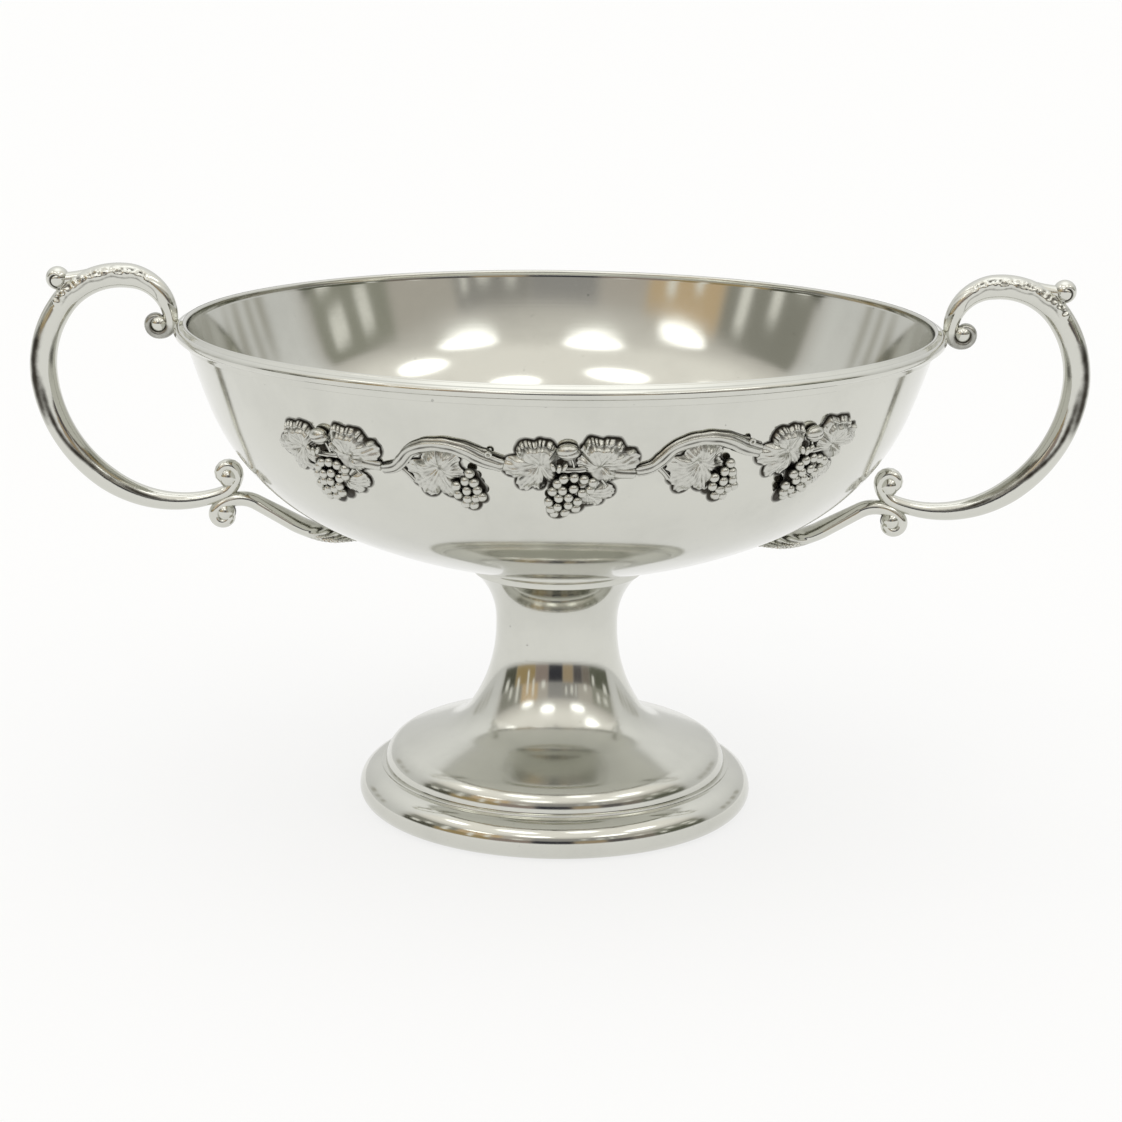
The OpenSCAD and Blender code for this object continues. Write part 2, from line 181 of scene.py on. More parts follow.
def smooth(low, high, x):
    """Ease from 0 at low to 1 at high."""
    t = min(1.0, max(0.0, (x - low) / (high - low)))
    return t * t * (3 - 2 * t)


def bump(x, wide):
    return math.exp(-(x / wide) ** 2)


def blend(a, b, t):
    return a + (b - a) * t


def out(a):
    """Direction out of a bowl arc whose surface has climbed to this slope."""
    return Vector((sind(a), -cosd(a)))


def up(a):
    """Direction square to the top of the foot where it falls at this slope."""
    return Vector((sind(a), cosd(a)))


def toward(a):
    """Direction from a point of the stem's hollow curve back to its centre."""
    return Vector((-cosd(a), -sind(a)))


def ray(a):
    """Direction at an angle up from the horizontal."""
    return Vector((cosd(a), sind(a)))


def arc(centre, radius, way, start, end, count):
    """Points on an arc; way turns an angle into a direction."""
    return [centre + radius * way(blend(start, end, k / count)) for k in range(count + 1)]


class Form:
    """The arcs that the pieces share, in millimetres."""

    def __init__(self):
        sizes = settings().bowl
        self.sheet = sizes.sheet / MM
        self.rim = sizes.rim_radius / MM
        self.waist = sizes.waist_radius / MM
        self.foot = sizes.foot_radius / MM
        # foot and stem
        self.ovolo = 7.2
        self.toe = 4.8
        self.foot_wall = 1.6
        self.ovolo_c = Vector((self.foot - self.ovolo, self.toe))
        self.toe_c = Vector((self.foot - self.toe, self.toe))
        self.ledge = self.toe + self.ovolo + 0.8
        self.edge_round = 8.0
        self.edge_slope = 20.5
        self.dome = 320.0
        self.heel = 17.0
        self.skirt = 48.0
        self.skirt_turn = 32.8
        self.dome_r = self.foot - self.ovolo - 1.2
        self.edge_c = Vector((self.dome_r - self.edge_round, self.ledge))
        self.dome_c = self.edge_c + (self.edge_round - self.dome) * up(self.edge_slope)
        skirt_in = self.skirt * (1 - cosd(self.skirt_turn))
        reach = self.waist + skirt_in + self.heel * cosd(self.skirt_turn) - self.dome_c.x
        self.heel_slope = math.degrees(math.asin(reach / (self.dome + self.heel)))
        self.heel_c = self.dome_c + (self.dome + self.heel) * up(self.heel_slope)
        self.skirt_c = self.heel_c + (self.skirt - self.heel) * -toward(self.skirt_turn)
        self.flare = 22.0
        self.flare_turn = 46.7
        self.flare_c = Vector((self.waist + self.flare, self.skirt_c.y + 2.0))
        self.stem_top = self.flare_c + self.flare * toward(-self.flare_turn)
        self.collar = self.stem_top.x + 0.7
        # bowl
        self.scale = self.rim / 120.0
        self.bottom = 173.6 * self.scale
        self.side = 66.95 * self.scale
        self.wall = 230.2 * self.scale
        self.side_from = 26.25
        self.wall_from = 68.78
        self.lip_at = 75.04
        self.bowl_z = self.stem_top.y + 2.3
        self.bottom_c = Vector((0.0, self.bowl_z + self.bottom))
        self.side_c = self.bottom_c + (self.bottom - self.side) * out(self.side_from)
        self.wall_c = self.side_c + (self.side - self.wall) * out(self.wall_from)
        self.lip_c = self.wall_c + (self.wall - self.sheet / 2) * out(self.lip_at)
        self.bead = 1.5 * self.scale
        self.bead_c = Vector((self.rim - self.bead, self.lip_c.y - 1.7 * self.scale))
        # scrolls
        self.grip_from = Vector((self.rim + 1.9, self.lip_c.y - 1.5))
        self.arm_from = Vector((57.5 * self.scale, self.bowl_under(57.5 * self.scale) - 1.05))

    def wall_r(self, z):
        return self.wall_c.x + math.sqrt(self.wall ** 2 - (self.wall_c.y - z) ** 2)

    def bowl_under(self, r):
        return self.bottom_c.y - math.sqrt(self.bottom ** 2 - r ** 2)

    def on_bowl(self, u, v, h, turn):
        """A point of the vine: u round the bowl, v up its wall, h off its surface."""
        high = v >= 0
        radius = self.wall if high else self.side
        centre = self.wall_c if high else self.side_c
        p = centre + (radius + h) * out(self.wall_from + math.degrees(v / radius))
        a = u / 110.0 + turn
        return Vector((p.x * math.sin(a), -p.x * math.cos(a), p.y))


# Modelling helpers


def fresh(name):
    """Name the object that a primitive has just made."""
    piece = bpy.context.object
    piece.name = name
    piece.data.name = name
    return piece


def pick(*pieces):
    """Select these pieces alone, with the first of them active."""
    bpy.ops.object.select_all(action="DESELECT")
    for piece in pieces:
        piece.select_set(True)
    bpy.context.view_layer.objects.active = pieces[0]


def edit(piece):
    bpy.ops.object.mode_set(mode="OBJECT")
    pick(piece)
    bpy.ops.object.mode_set(mode="EDIT")
    bpy.ops.mesh.select_all(action="SELECT")


def close(piece, merge=1e-6, angle=40):
    """Weld the seams, turn the faces outwards and smooth the shading."""
    edit(piece)
    bpy.ops.mesh.remove_doubles(threshold=merge)
    bpy.ops.mesh.normals_make_consistent(inside=False)
    bpy.ops.object.mode_set(mode="OBJECT")
    bpy.ops.object.shade_smooth_by_angle(angle=math.radians(angle))


def spin_up(name, outline, steps=224):
    """Draw an outline point by point and spin it round the axis."""
    bpy.ops.object.select_all(action="DESELECT")
    bpy.ops.mesh.primitive_plane_add(size=MM)
    piece = fresh(name)
    bpy.ops.object.mode_set(mode="EDIT")
    bpy.ops.mesh.select_all(action="SELECT")
    bpy.ops.mesh.merge(type="CENTER")
    here = Vector((0.0, 0.0, 0.0))
    for k, point in enumerate(outline):
        there = Vector((point[0], 0.0, point[1])) * MM
        if k == 0:
            bpy.ops.transform.translate(value=there - here)
        else:
            bpy.ops.mesh.extrude_region_move(TRANSFORM_OT_translate={"value": there - here})
        here = there
    bpy.ops.mesh.select_all(action="SELECT")
    bpy.ops.mesh.spin(steps=steps, angle=math.tau, center=(0, 0, 0), axis=(0, 0, 1))
    close(piece)
    return piece


def tube(name, count, around):
    """A straight tube of unit rings along X, to be shaped ring by ring."""
    bpy.ops.object.select_all(action="DESELECT")
    bpy.ops.mesh.primitive_circle_add(vertices=around, radius=MM, rotation=(0, math.pi / 2, 0))
    piece = fresh(name)
    bpy.ops.object.transform_apply(location=True, rotation=True, scale=True)
    bpy.ops.object.mode_set(mode="EDIT")
    bpy.ops.mesh.select_all(action="SELECT")
    for _ in range(count - 1):
        bpy.ops.mesh.extrude_region_move(TRANSFORM_OT_translate={"value": (MM, 0, 0)})
    bpy.ops.object.mode_set(mode="OBJECT")
    return piece


def ball(name, segments, rings, radius=MM, **place):
    """A round ball, to be shaped point by point."""
    bpy.ops.object.select_all(action="DESELECT")
    bpy.ops.mesh.primitive_uv_sphere_add(segments=segments, ring_count=rings, radius=radius, **place)
    piece = fresh(name)
    bpy.ops.object.transform_apply(location=True, rotation=True, scale=True)
    return piece


def shape(piece, rule):
    """Move each point to where rule(point) puts it, in millimetres, and store how dark it is painted: oxide
    in the hollows and painted shade alike.
    """
    layer = piece.data.attributes.new("tarnish_and_shade", "FLOAT", "POINT")
    for k, vertex in enumerate(piece.data.vertices):
        place, dark = rule(vertex.co / MM)
        vertex.co = place * MM
        layer.data[k].value = min(1.0, max(0.0, dark))


def shape_tube(piece, rule):
    """Shape a straight tube by a rule on its ring number and the angle round it."""
    shape(piece, lambda p: rule(round(p.x), math.degrees(math.atan2(p.y, p.z))))


def join(name, parts):
    bpy.ops.object.mode_set(mode="OBJECT")
    pick(*parts)
    bpy.ops.object.join()
    return fresh(name)


def duplicate(piece, name):
    pick(piece)
    bpy.ops.object.duplicate(linked=False)
    return fresh(name)


def mirror_copy(piece, name):
    """A copy on the other side of the bowl."""
    copy = duplicate(piece, name)
    edit(copy)
    bpy.ops.transform.resize(value=(-1, 1, 1), center_override=(0, 0, 0))
    bpy.ops.mesh.flip_normals()
    bpy.ops.object.mode_set(mode="OBJECT")
    return copy


def remove(piece):
    pick(piece)
    bpy.ops.object.delete()


def dress(piece, node, material):
    """Put a finished piece in place of its CAD node."""
    piece.data.materials.clear()
    piece.data.materials.append(material)
    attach(piece, "root")
    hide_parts(node)


# Materials


class Nodes:
    """Short calls for a node tree."""

    def __init__(self, tree):
        self.tree = tree
        tree.nodes.clear()

    def add(self, kind, **values):
        node = self.tree.nodes.new(kind)
        for key, value in values.items():
            setattr(node, key, value)
        return node

    def link(self, source, target):
        self.tree.links.new(source, target)

    def feed(self, socket, value):
        if isinstance(value, bpy.types.NodeSocket):
            self.link(value, socket)
        else:
            socket.default_value = value

    def math(self, operation, a, b=0.0, clamp=False):
        node = self.add("ShaderNodeMath", operation=operation, use_clamp=clamp)
        self.feed(node.inputs[0], a)
        self.feed(node.inputs[1], b)
        return node.outputs[0]

    def ease(self, value, low, high, start=0.0, end=1.0):
        node = self.add("ShaderNodeMapRange", interpolation_type="SMOOTHSTEP")
        self.feed(node.inputs["Value"], value)
        node.inputs["From Min"].default_value = low
        node.inputs["From Max"].default_value = high
        node.inputs["To Min"].default_value = start
        node.inputs["To Max"].default_value = end
        return node.outputs["Result"]

    def mix(self, factor, a, b):
        node = self.add("ShaderNodeMix", data_type="RGBA")
        self.feed(node.inputs[0], factor)
        self.feed(node.inputs[6], a)
        self.feed(node.inputs[7], b)
        return node.outputs[2]

    def noise(self, vector, scale, detail=2.0, rough=0.5):
        node = self.add("ShaderNodeTexNoise")
        self.feed(node.inputs["Vector"], vector)
        node.inputs["Scale"].default_value = scale
        node.inputs["Detail"].default_value = detail
        node.inputs["Roughness"].default_value = rough
        return node.outputs["Fac"]

    def bump(self, height, strength, distance, normal=None):
        node = self.add("ShaderNodeBump")
        node.inputs["Strength"].default_value = strength
        node.inputs["Distance"].default_value = distance
        self.link(height, node.inputs["Height"])
        if normal is not None:
            self.link(normal, node.inputs["Normal"])
        return node.outputs["Normal"]


def colour(value, gain=1.0):
    return (value[0] * gain, value[1] * gain, value[2] * gain, 1.0)


def new_material(name):
    material = bpy.data.materials.new(name)
    material.use_nodes = True
    nodes = Nodes(material.node_tree)
    shader = nodes.add("ShaderNodeBsdfPrincipled")
    output = nodes.add("ShaderNodeOutputMaterial")
    nodes.link(shader.outputs[0], output.inputs[0])
    shader.inputs["Metallic"].default_value = 1.0
    return material, nodes, shader


def polished_plate():
    """Mirror polish with the faint rings of spinning, fine rubbing marks and a thin bloom of dull oxide."""
    made = bpy.data.materials.get("polished_plate")
    if made:
        return made
    finish = settings().finish
    material, nodes, shader = new_material("polished_plate")
    place = nodes.add("ShaderNodeTexCoord").outputs["Object"]
    axes = nodes.add("ShaderNodeSeparateXYZ")
    nodes.link(place, axes.inputs[0])
    x2 = nodes.math("MULTIPLY", axes.outputs[0], axes.outputs[0])
    y2 = nodes.math("MULTIPLY", axes.outputs[1], axes.outputs[1])
    radius = nodes.math("SQRT", nodes.math("ADD", x2, y2))
    rings = nodes.add("ShaderNodeCombineXYZ")
    nodes.link(radius, rings.inputs[0])
    nodes.link(axes.outputs[2], rings.inputs[2])
    lathe = nodes.noise(rings.outputs[0], 1400.0, 2.0)
    rubbing = nodes.noise(place, 900.0, 4.0, 0.7)
    sway = nodes.noise(place, 22.0, 1.0)
    bloom = nodes.noise(place, 34.0, 5.0, 0.62)
    haze = nodes.ease(bloom, 0.40, 0.75)
    shade = nodes.mix(haze, colour(finish.silver), colour(finish.silver, 0.93))
    speck = nodes.ease(nodes.noise(place, 420.0, 2.0), 0.735, 0.80)
    nodes.link(nodes.mix(speck, shade, colour(finish.silver, 0.72)), shader.inputs["Base Color"])
    gloss = nodes.math("MULTIPLY", rubbing, 0.05)
    gloss = nodes.math("ADD", gloss, nodes.math("MULTIPLY", haze, 0.035))
    worn = nodes.math("MULTIPLY", nodes.ease(axes.outputs[2], 0.05, 0.03, 0.0, 0.06),
                      nodes.ease(axes.outputs[2], 0.013, 0.019))
    gloss = nodes.math("ADD", gloss, worn)
    nodes.link(nodes.math("ADD", gloss, finish.polish - 0.03), shader.inputs["Roughness"])
    waves = nodes.bump(sway, 0.35, 0.0006)
    marks = nodes.bump(lathe, 0.05, 0.00004, waves)
    nodes.link(marks, shader.inputs["Normal"])
    return material


def cast_plate(name, bright, rough, dark_rough, grain):
    """Cast plate: polished where it is high and darkened as its darkening layer says, which holds oxide in
    the hollows as well as painted shade and painted reflections.
    """
    made = bpy.data.materials.get(name)
    if made:
        return made
    finish = settings().finish
    material, nodes, shader = new_material(name)
    place = nodes.add("ShaderNodeTexCoord").outputs["Object"]
    layer = nodes.add("ShaderNodeAttribute", attribute_name="tarnish_and_shade", attribute_type="GEOMETRY")
    patch = nodes.noise(place, 260.0, 4.0, 0.6)
    uneven = nodes.math("MULTIPLY", nodes.math("SUBTRACT", patch, 0.5), 0.5)
    depth = nodes.math("ADD", layer.outputs["Fac"], uneven)
    dark = nodes.ease(depth, 0.12, 0.85)
    shade = nodes.mix(dark, colour(finish.silver, bright), colour(finish.tarnish_and_shade))
    nodes.link(shade, shader.inputs["Base Color"])
    nodes.link(nodes.ease(depth, 0.0, 0.9, rough, dark_rough), shader.inputs["Roughness"])
    fine = nodes.noise(place, 1600.0, 3.0, 0.65)
    soft = nodes.noise(place, 120.0, 2.0)
    waves = nodes.bump(soft, 0.25, 0.0004)
    nodes.link(nodes.bump(fine, grain, 0.00006, waves), shader.inputs["Normal"])
    return material


def scroll_plate():
    return cast_plate("scroll_plate", bright=1.0, rough=0.09, dark_rough=0.4, grain=0.12)


def vine_plate():
    return cast_plate("vine_plate", bright=0.9, rough=0.25, dark_rough=0.5, grain=0.4)


# Outlines of the spun pieces


def bowl_outline(form):
    lip = form.sheet / 2 + 0.2
    inside = form.sheet
    over = math.degrees(math.acos(form.sheet / 2 / lip))

    def round_lip(b):
        d = out(form.lip_at)
        return Vector((d.x * cosd(b) - d.y * sind(b), d.x * sind(b) + d.y * cosd(b)))

    points = arc(form.bottom_c, form.bottom, out, 0, form.side_from, 26)
    points += arc(form.side_c, form.side, out, form.side_from, form.wall_from, 26)[1:]
    points += arc(form.wall_c, form.wall, out, form.wall_from, form.lip_at, 12)[1:-1]
    points += arc(form.lip_c, lip, round_lip, -over, 180 + over, 14)
    points += arc(form.wall_c, form.wall - inside, out, form.lip_at, form.wall_from, 12)[1:]
    points += arc(form.side_c, form.side - inside, out, form.wall_from, form.side_from, 26)[1:]
    points += arc(form.bottom_c, form.bottom - inside, out, form.side_from, 0, 26)[1:]
    return points


def rim_outline(form):
    low = form.bead_c.y - 3.7 * form.scale
    gap = 0.05
    band = 0.75
    cusp = form.bead_c.y - 1.2 * form.scale
    edge = 0.22
    hollow = 0.16
    foot = form.wall_r(low)
    points = [Vector((foot + gap, low)), Vector((foot + band - edge, low))]
    points += arc(Vector((foot + band - edge, low + edge)), edge, ray, -90, 0, 5)[1:]
    for k in range(1, 7):
        z = blend(low + edge, cusp - 0.1, k / 6)
        points.append(Vector((form.wall_r(z) + band - hollow * sind(180 * k / 6), z)))
    points += arc(form.bead_c, form.bead, ray, -124, 96, 34)
    lip = form.sheet / 2 + 0.2 + gap
    points += [form.lip_c + lip * ray(a) for a in (70, 40, 10, -15)]
    down = (form.bead_c.y - 0.6, cusp, blend(cusp, low, 0.5), low)
    points += [Vector((form.wall_r(z) + gap, z)) for z in down]
    return points


def collar_outline(form):
    z = form.stem_top.y
    hole = 12.0
    edge = 0.7
    brim = form.collar + 0.9
    points = [Vector((hole, z)), Vector((form.collar - edge, z))]
    points += arc(Vector((form.collar - edge, z + edge)), edge, ray, -90, 0, 6)[1:]
    points.append(Vector((form.collar, z + 1.9)))
    points += [Vector((form.collar + 0.12, z + 2.15)), Vector((form.collar + 0.45, z + 2.5))]
    points += [Vector((form.collar + 0.75, z + 2.95)), Vector((brim, z + 3.4))]
    points += [Vector((r, form.bowl_under(r) - 0.05)) for r in (brim, 24.0, 20.0, 16.0, hole)]
    points.append(points[0].copy())
    return points


def pedestal_side(form, inset):
    """One face of the trumpet from the stem's top to the foot's ledge; inset goes into the sheet."""
    points = arc(form.flare_c, form.flare + inset, toward, -form.flare_turn, 0, 24)
    points += arc(form.skirt_c, form.skirt + inset, toward, 0, form.skirt_turn, 26)
    points += arc(form.heel_c, form.heel + inset, toward, form.skirt_turn, 90 - form.heel_slope, 26)[1:]
    points += arc(form.dome_c, form.dome - inset, up, form.heel_slope, form.edge_slope, 12)[1:]
    points += arc(form.edge_c, form.edge_round - inset, up, form.edge_slope, 90, 16)[1:]
    return points


def pedestal_outline(form):
    outside = pedestal_side(form, 0.0)
    inside = pedestal_side(form, form.sheet)
    inside[0] = Vector((inside[0].x, outside[0].y))
    return outside + inside[::-1] + [outside[0].copy()]


def foot_outline(form):
    c = form.ovolo_c
    wall = form.foot_wall
    edge = 0.25
    inner = c.x - 3.6
    heel = c.x - 1.4
    points = [Vector((inner, form.ledge)), Vector((c.x - edge, form.ledge))]
    points += arc(Vector((c.x - edge, form.ledge - edge)), edge, ray, 90, 0, 4)[1:]
    points.append(Vector((c.x, form.ledge - 0.7)))
    points += arc(c, form.ovolo, ray, 88, 0, 26)
    points += arc(form.toe_c, form.toe, ray, 0, -90, 20)[1:]
    points += [Vector((heel, 0.0)), Vector((heel, wall)), Vector((form.toe_c.x, wall))]
    points += arc(form.toe_c, form.toe - wall, ray, -90, 0, 12)[1:]
    points += arc(c, form.ovolo - wall, ray, 0, 90, 14)[1:]
    points += [Vector((inner, c.y + form.ovolo - wall)), points[0].copy()]
    return points


# Cast scrolls


def walk(steps, place, heading, section, spacing):
    """Walk a chain of arcs: each step is (radius, turn, end thickness, end width).

    A turn is to the right, a negative radius turns left, and a zero radius runs straight.
    """
    stations = []
    for radius, turn, thick, wide in steps:
        left = -1 if radius < 0 else 1
        length = turn if radius == 0 else abs(radius) * math.radians(turn)
        count = max(3, round(length / spacing))
        centre = place + left * abs(radius) * Vector((sind(heading), -cosd(heading)))
        start, first = place, heading
        for k in range(1, count + 1):
            t = k / count
            if radius == 0:
                place = start + turn * t * Vector((cosd(first), sind(first)))
            else:
                heading = first - left * turn * t
                place = centre + left * abs(radius) * Vector((-sind(heading), cosd(heading)))
            stations.append((place, heading, blend(section[0], thick, t), blend(section[1], wide, t)))
        section = (thick, wide)
    return stations


def tip(stations, forward):
    """Close an end with a rounded tip."""
    place, heading, thick, wide = stations[-1] if forward else stations[0]
    way = Vector((cosd(heading), sind(heading))) * (1 if forward else -1)
    least = 0.001
    rings = []
    for k in range(1, 7):
        a = 90 * k / 6
        section = (max(thick * cosd(a), least), max(wide * cosd(a), least))
        rings.append((place + way * thick * sind(a), heading) + section)
    return stations + rings if forward else rings[::-1] + stations


def grip_stations(form):
    """The C-scroll from the heart of its upper volute, over the top and down to its lower volute."""
    big = settings().scroll.rod_radius / MM
    start = (2.3, 2.2)
    volute = walk([(-4.0, 90, 1.65, 1.9), (-3.2, 90, 1.5, 2.0), (-2.4, 90, 1.4, 1.9), (-1.6, 90, 1.3, 1.8)],
                  form.grip_from, -90, start, 0.6)
    curl = [(p, h + 180, t, w) for p, h, t, w in volute[::-1]]
    leafy = walk([(14.4, 83, big * 0.88, big * 0.84), (23.4, 61, big * 0.95, big * 0.9),
                  (33.4, 43, big, big * 0.95)], form.grip_from, 90, start, 0.4)
    place, heading, thick, wide = leafy[-1]
    plain = walk([(45.6, 48, big * 0.88, big * 0.86), (38.7, 57, 2.3, 2.3), (7.2, 66, 2.3, 2.5),
                  (2.7, 175, 2.15, 2.6), (1.7, 130, 1.8, 2.4)], place, heading, (thick, wide), 1.0)
    middle = [(form.grip_from, 90.0) + start]
    return curl, middle + leafy, plain


def lengths(stations):
    """Distance along a walk at each of its stations."""
    spans = [0.0]
    for a, b in zip(stations, stations[1:]):
        spans.append(spans[-1] + (b[0] - a[0]).length)
    return spans


def across(station, angle, thick, wide):
    """The point on a rod's skin at an angle from its outer side."""
    place, heading = station[0], station[1]
    m = thick * cosd(angle)
    return Vector((place.x - m * sind(heading), wide * sind(angle), place.y + m * cosd(heading)))


def handle_mesh(form):
    """One handle for the right side."""
    curl, leafy, plain = grip_stations(form)
    stations = tip(tip(curl + leafy + plain, True), False)
    lift = settings().scroll.leaf_lift / MM
    thumb = form.grip_from + Vector((35.2, 13.2))
    leaf_end = 48.0
    spans = lengths(stations)
    zero = spans[len(curl) + 6]
    end = spans[-1] - zero

    def rule(ring, angle):
        station = stations[ring]
        s = spans[ring] - zero
        side = abs(angle)
        grow, dark = 0.0, 0.0
        if 0.0 < s < leaf_end:
            along = smooth(1.0, 6.0, s) * smooth(leaf_end, leaf_end - 7, s)
            fold = 88 + 44 * smooth(15.0, 4.0, s) + 4 * cosd(360 * s / 7.5)
            grow += lift * along * smooth(fold + 4, fold - 4, side) * (0.35 + 0.65 * sind(min(90, side)))
            dark += 0.5 * along * bump(side - fold - 5, 6)
            rough = smooth(13.0, 18.0, s) * smooth(leaf_end, leaf_end - 4, s) * bump(side - 60, 21)
            chip = noise.noise(Vector((s * 0.85, angle * 0.05, 2.0))) + 0.5 * noise.noise(
                Vector((s * 2.1, angle * 0.12, 7.0)))
            grow += rough * (0.5 * smooth(-0.25, 0.45, chip) - 0.14)
            dark += 0.7 * rough * smooth(-0.02, -0.36, chip)
            crease = smooth(3.0, 9.0, s) * smooth(26.0, 12.0, s)
            grow -= 0.22 * crease * bump(side - blend(20, 58, smooth(3.0, 18.0, s)), 8)
            dark += 0.3 * crease * bump(side - blend(20, 58, smooth(3.0, 18.0, s)), 7)
        # Painted shade: the whole upper volute is darkened, the more on its inner side.
        curl_on = smooth(1.5, -3.0, s)
        dark += curl_on * (0.46 + 0.5 * smooth(100, 140, side))
        # Painted shade inside the coil of the lower volute.
        dark += 0.8 * smooth(end - 17, end - 12, s) * smooth(112, 145, side)
        # Painted reflections: dark streaks and a dark patch along the plain rod, standing in for the dark
        # room mirrored in it; sway and patchy only bend and break them.
        sway = 14 * noise.noise(Vector((s * 0.05, 3.0, 1.0)))
        patchy = 0.7 + 0.3 * smooth(-0.3, 0.2, noise.noise(Vector((s * 0.08, 8.3, 4.6))))
        band = smooth(50.0, 60.0, s) * smooth(90.0, 76.0, s) * bump(side - 58 - sway, 24)
        line_at = 88 + 26 * smooth(72.0, 122.0, s)
        line = smooth(66.0, 76.0, s) * smooth(148.0, 120.0, s) * bump(side - line_at - sway, 12)
        reflection_spot = bump(side - 136, 13) * bump(s - 62, 8)
        dark += 0.82 * band + 0.78 * line * patchy + 0.6 * reflection_spot
        outer = 1 - 0.09 * max(0.0, cosd(angle))
        return across(station, angle, (station[2] + grow) * outer, station[3] + grow), dark

    rod = tube("rod", len(stations), 64)
    shape_tube(rod, rule)
    leaf_tip = thumb_curl(thumb, leafy)
    upper = finger_tip(curl[0][0] + Vector((0.7, -0.6)), radius=2.9, wide=2.9)
    lower = finger_tip(plain[-1][0] + Vector((-0.2, 0.2)), radius=3.5, wide=3.3)
    return join("handle", [rod, leaf_tip, upper, lower])


ON_SIDE = (math.pi / 2, 0, 0)


def finger_tip(place, radius, wide):
    """The rounded end of a scroll, seen at the heart of its volute."""
    centre = (place.x * MM, 0, place.y * MM)
    piece = ball("finger_tip", 32, 20, radius * MM, rotation=ON_SIDE, location=centre)
    edit(piece)
    bpy.ops.transform.resize(value=(1, wide / radius, 1), center_override=centre)
    bpy.ops.object.mode_set(mode="OBJECT")
    # Painted shade round the ball's rim, where it sits deep in the coil.
    shape(piece, lambda p: (p, 0.9 * smooth(0.45, 0.22, abs(p.y) / wide)))
    return piece


def thumb_curl(centre, leafy):
    """The leaf's tip, curled into a knob with a snail groove on each face, on a short neck."""
    radius = settings().scroll.knob_radius / MM
    nearest = min(leafy, key=lambda q: (q[0] - centre).length)
    root = nearest[0]
    way = (centre - root).normalized()
    knob = ball("knob", 72, 48, rotation=ON_SIDE)

    def snail(p):
        rho = math.hypot(p.x, p.z)
        turn = math.degrees(math.atan2(p.z, p.x)) - 200
        phase = (turn / 360 - 0.95 * (1 - rho)) % 1.0
        groove = bump(min(phase, 1 - phase), 0.1) * smooth(0.2, 0.42, rho) * smooth(1.05, 0.9, rho)
        size = radius * (1 - 0.15 * groove)
        return Vector((centre.x + p.x * size, p.y * size * 0.94, centre.y + p.z * size)), 1.1 * groove

    shape(knob, snail)
    inside = root - way
    length = (centre - inside).length - 1.2
    heading = math.degrees(math.atan2(way.y, way.x))
    rings = 16
    neck = tube("neck", rings, 40)

    def neck_rule(ring, angle):
        t = ring / (rings - 1)
        wide = blend(4.1, 2.5, smooth(0.1, 0.85, t)) + 0.15 * cosd(3 * angle) * smooth(0.2, 0.6, t)
        station = (inside + way * length * t, heading)
        return across(station, angle, wide, wide * 0.95), 0.65 * smooth(0.6, 0.95, t)

    shape_tube(neck, neck_rule)
    before = leafy[max(0, leafy.index(nearest) - 20)]
    begin = before[0] + Vector((-sind(before[1]), cosd(before[1]))) * 1.3
    rise = centre - way * 0.6 - begin
    lean = math.degrees(math.atan2(rise.y, rise.x))
    sweep = tube("sweep", rings, 40)

    def sweep_rule(ring, angle):
        t = ring / (rings - 1)
        wide = blend(2.5, 2.15, t)
        place = begin + rise * t + Vector((sind(lean), -cosd(lean))) * 1.2 * t * (1 - t)
        return across((place, lean), angle, wide, wide * 1.1), 0.06

    shape_tube(sweep, sweep_rule)
    return join("thumb", [knob, neck, sweep])


def bracket_mesh(form):
    """The fluted S-scroll arm under the bowl, for the right side."""
    start = (1.1, 3.2)
    stations = [(form.arm_from, 0.0) + start]
    stations += walk([(0, 12.5, 2.4, 6.0), (-30, 28, 2.7, 5.2), (0, 13.4, 2.5, 2.7), (10.5, 68, 2.2, 2.4),
                      (0, 1.2, 2.1, 2.4), (2.5, 190, 1.9, 2.4), (1.5, 120, 1.6, 2.2)],
                     form.arm_from, 0.0, start, 0.4)
    heart = stations[-1][0]
    stations = tip(tip(stations, True), False)
    spans = lengths(stations)
    zero = spans[6]
    end = spans[-1] - zero

    def rule(ring, angle):
        station = stations[ring]
        s = spans[ring] - zero
        side = abs(angle)
        along = smooth(0.5, 3.5, s) * smooth(24.0, 15.0, s)
        hook = 0.00105 * (side - 28) ** 2 if side > 28 else 0.0
        ridge = math.cos(math.tau * (s - hook) / 4.0)
        on = along * smooth(18, 48, side) * smooth(172, 140, side)
        grow = 0.48 * on * ridge
        dark = 0.7 * on * smooth(-0.3, -0.95, ridge)
        # Painted shade along the upper face of the arm, which faces the bowl's underside.
        dark += 0.3 * smooth(70, 30, side) * smooth(end - 14, end - 34, s)
        # Painted shade inside the coil of the end volute.
        dark += 0.8 * smooth(end - 15, end - 10, s) * smooth(112, 145, side)
        return across(station, angle, station[2] + grow, station[3] + grow), dark

    arm = tube("arm", len(stations), 64)
    shape_tube(arm, rule)
    return join("bracket", [arm, finger_tip(heart, radius=3.2, wide=3.2)])


# Grapevine, modelled flat in millimetres (u, v, h) and then laid on the bowl


def lobe_of(f, lobes):
    """The lobe that rules a direction: its reach there, the angle off its midrib and its length."""
    best = (0.0, 180.0, 1.0)
    for way, length, half in lobes:
        off = (f - way + 540) % 360 - 180
        if abs(off) < half:
            reach = length * cosd(90 * off / half) ** 0.5
            if reach > best[0]:
                best = (reach, off, length)
    return best


def leaf_edge(f, lobes, web):
    """Distance from the stalk to the leaf's edge; web is how full the leaf is between its lobes."""
    return max(web * max(lobe[1] for lobe in lobes), lobe_of(f, lobes)[0])


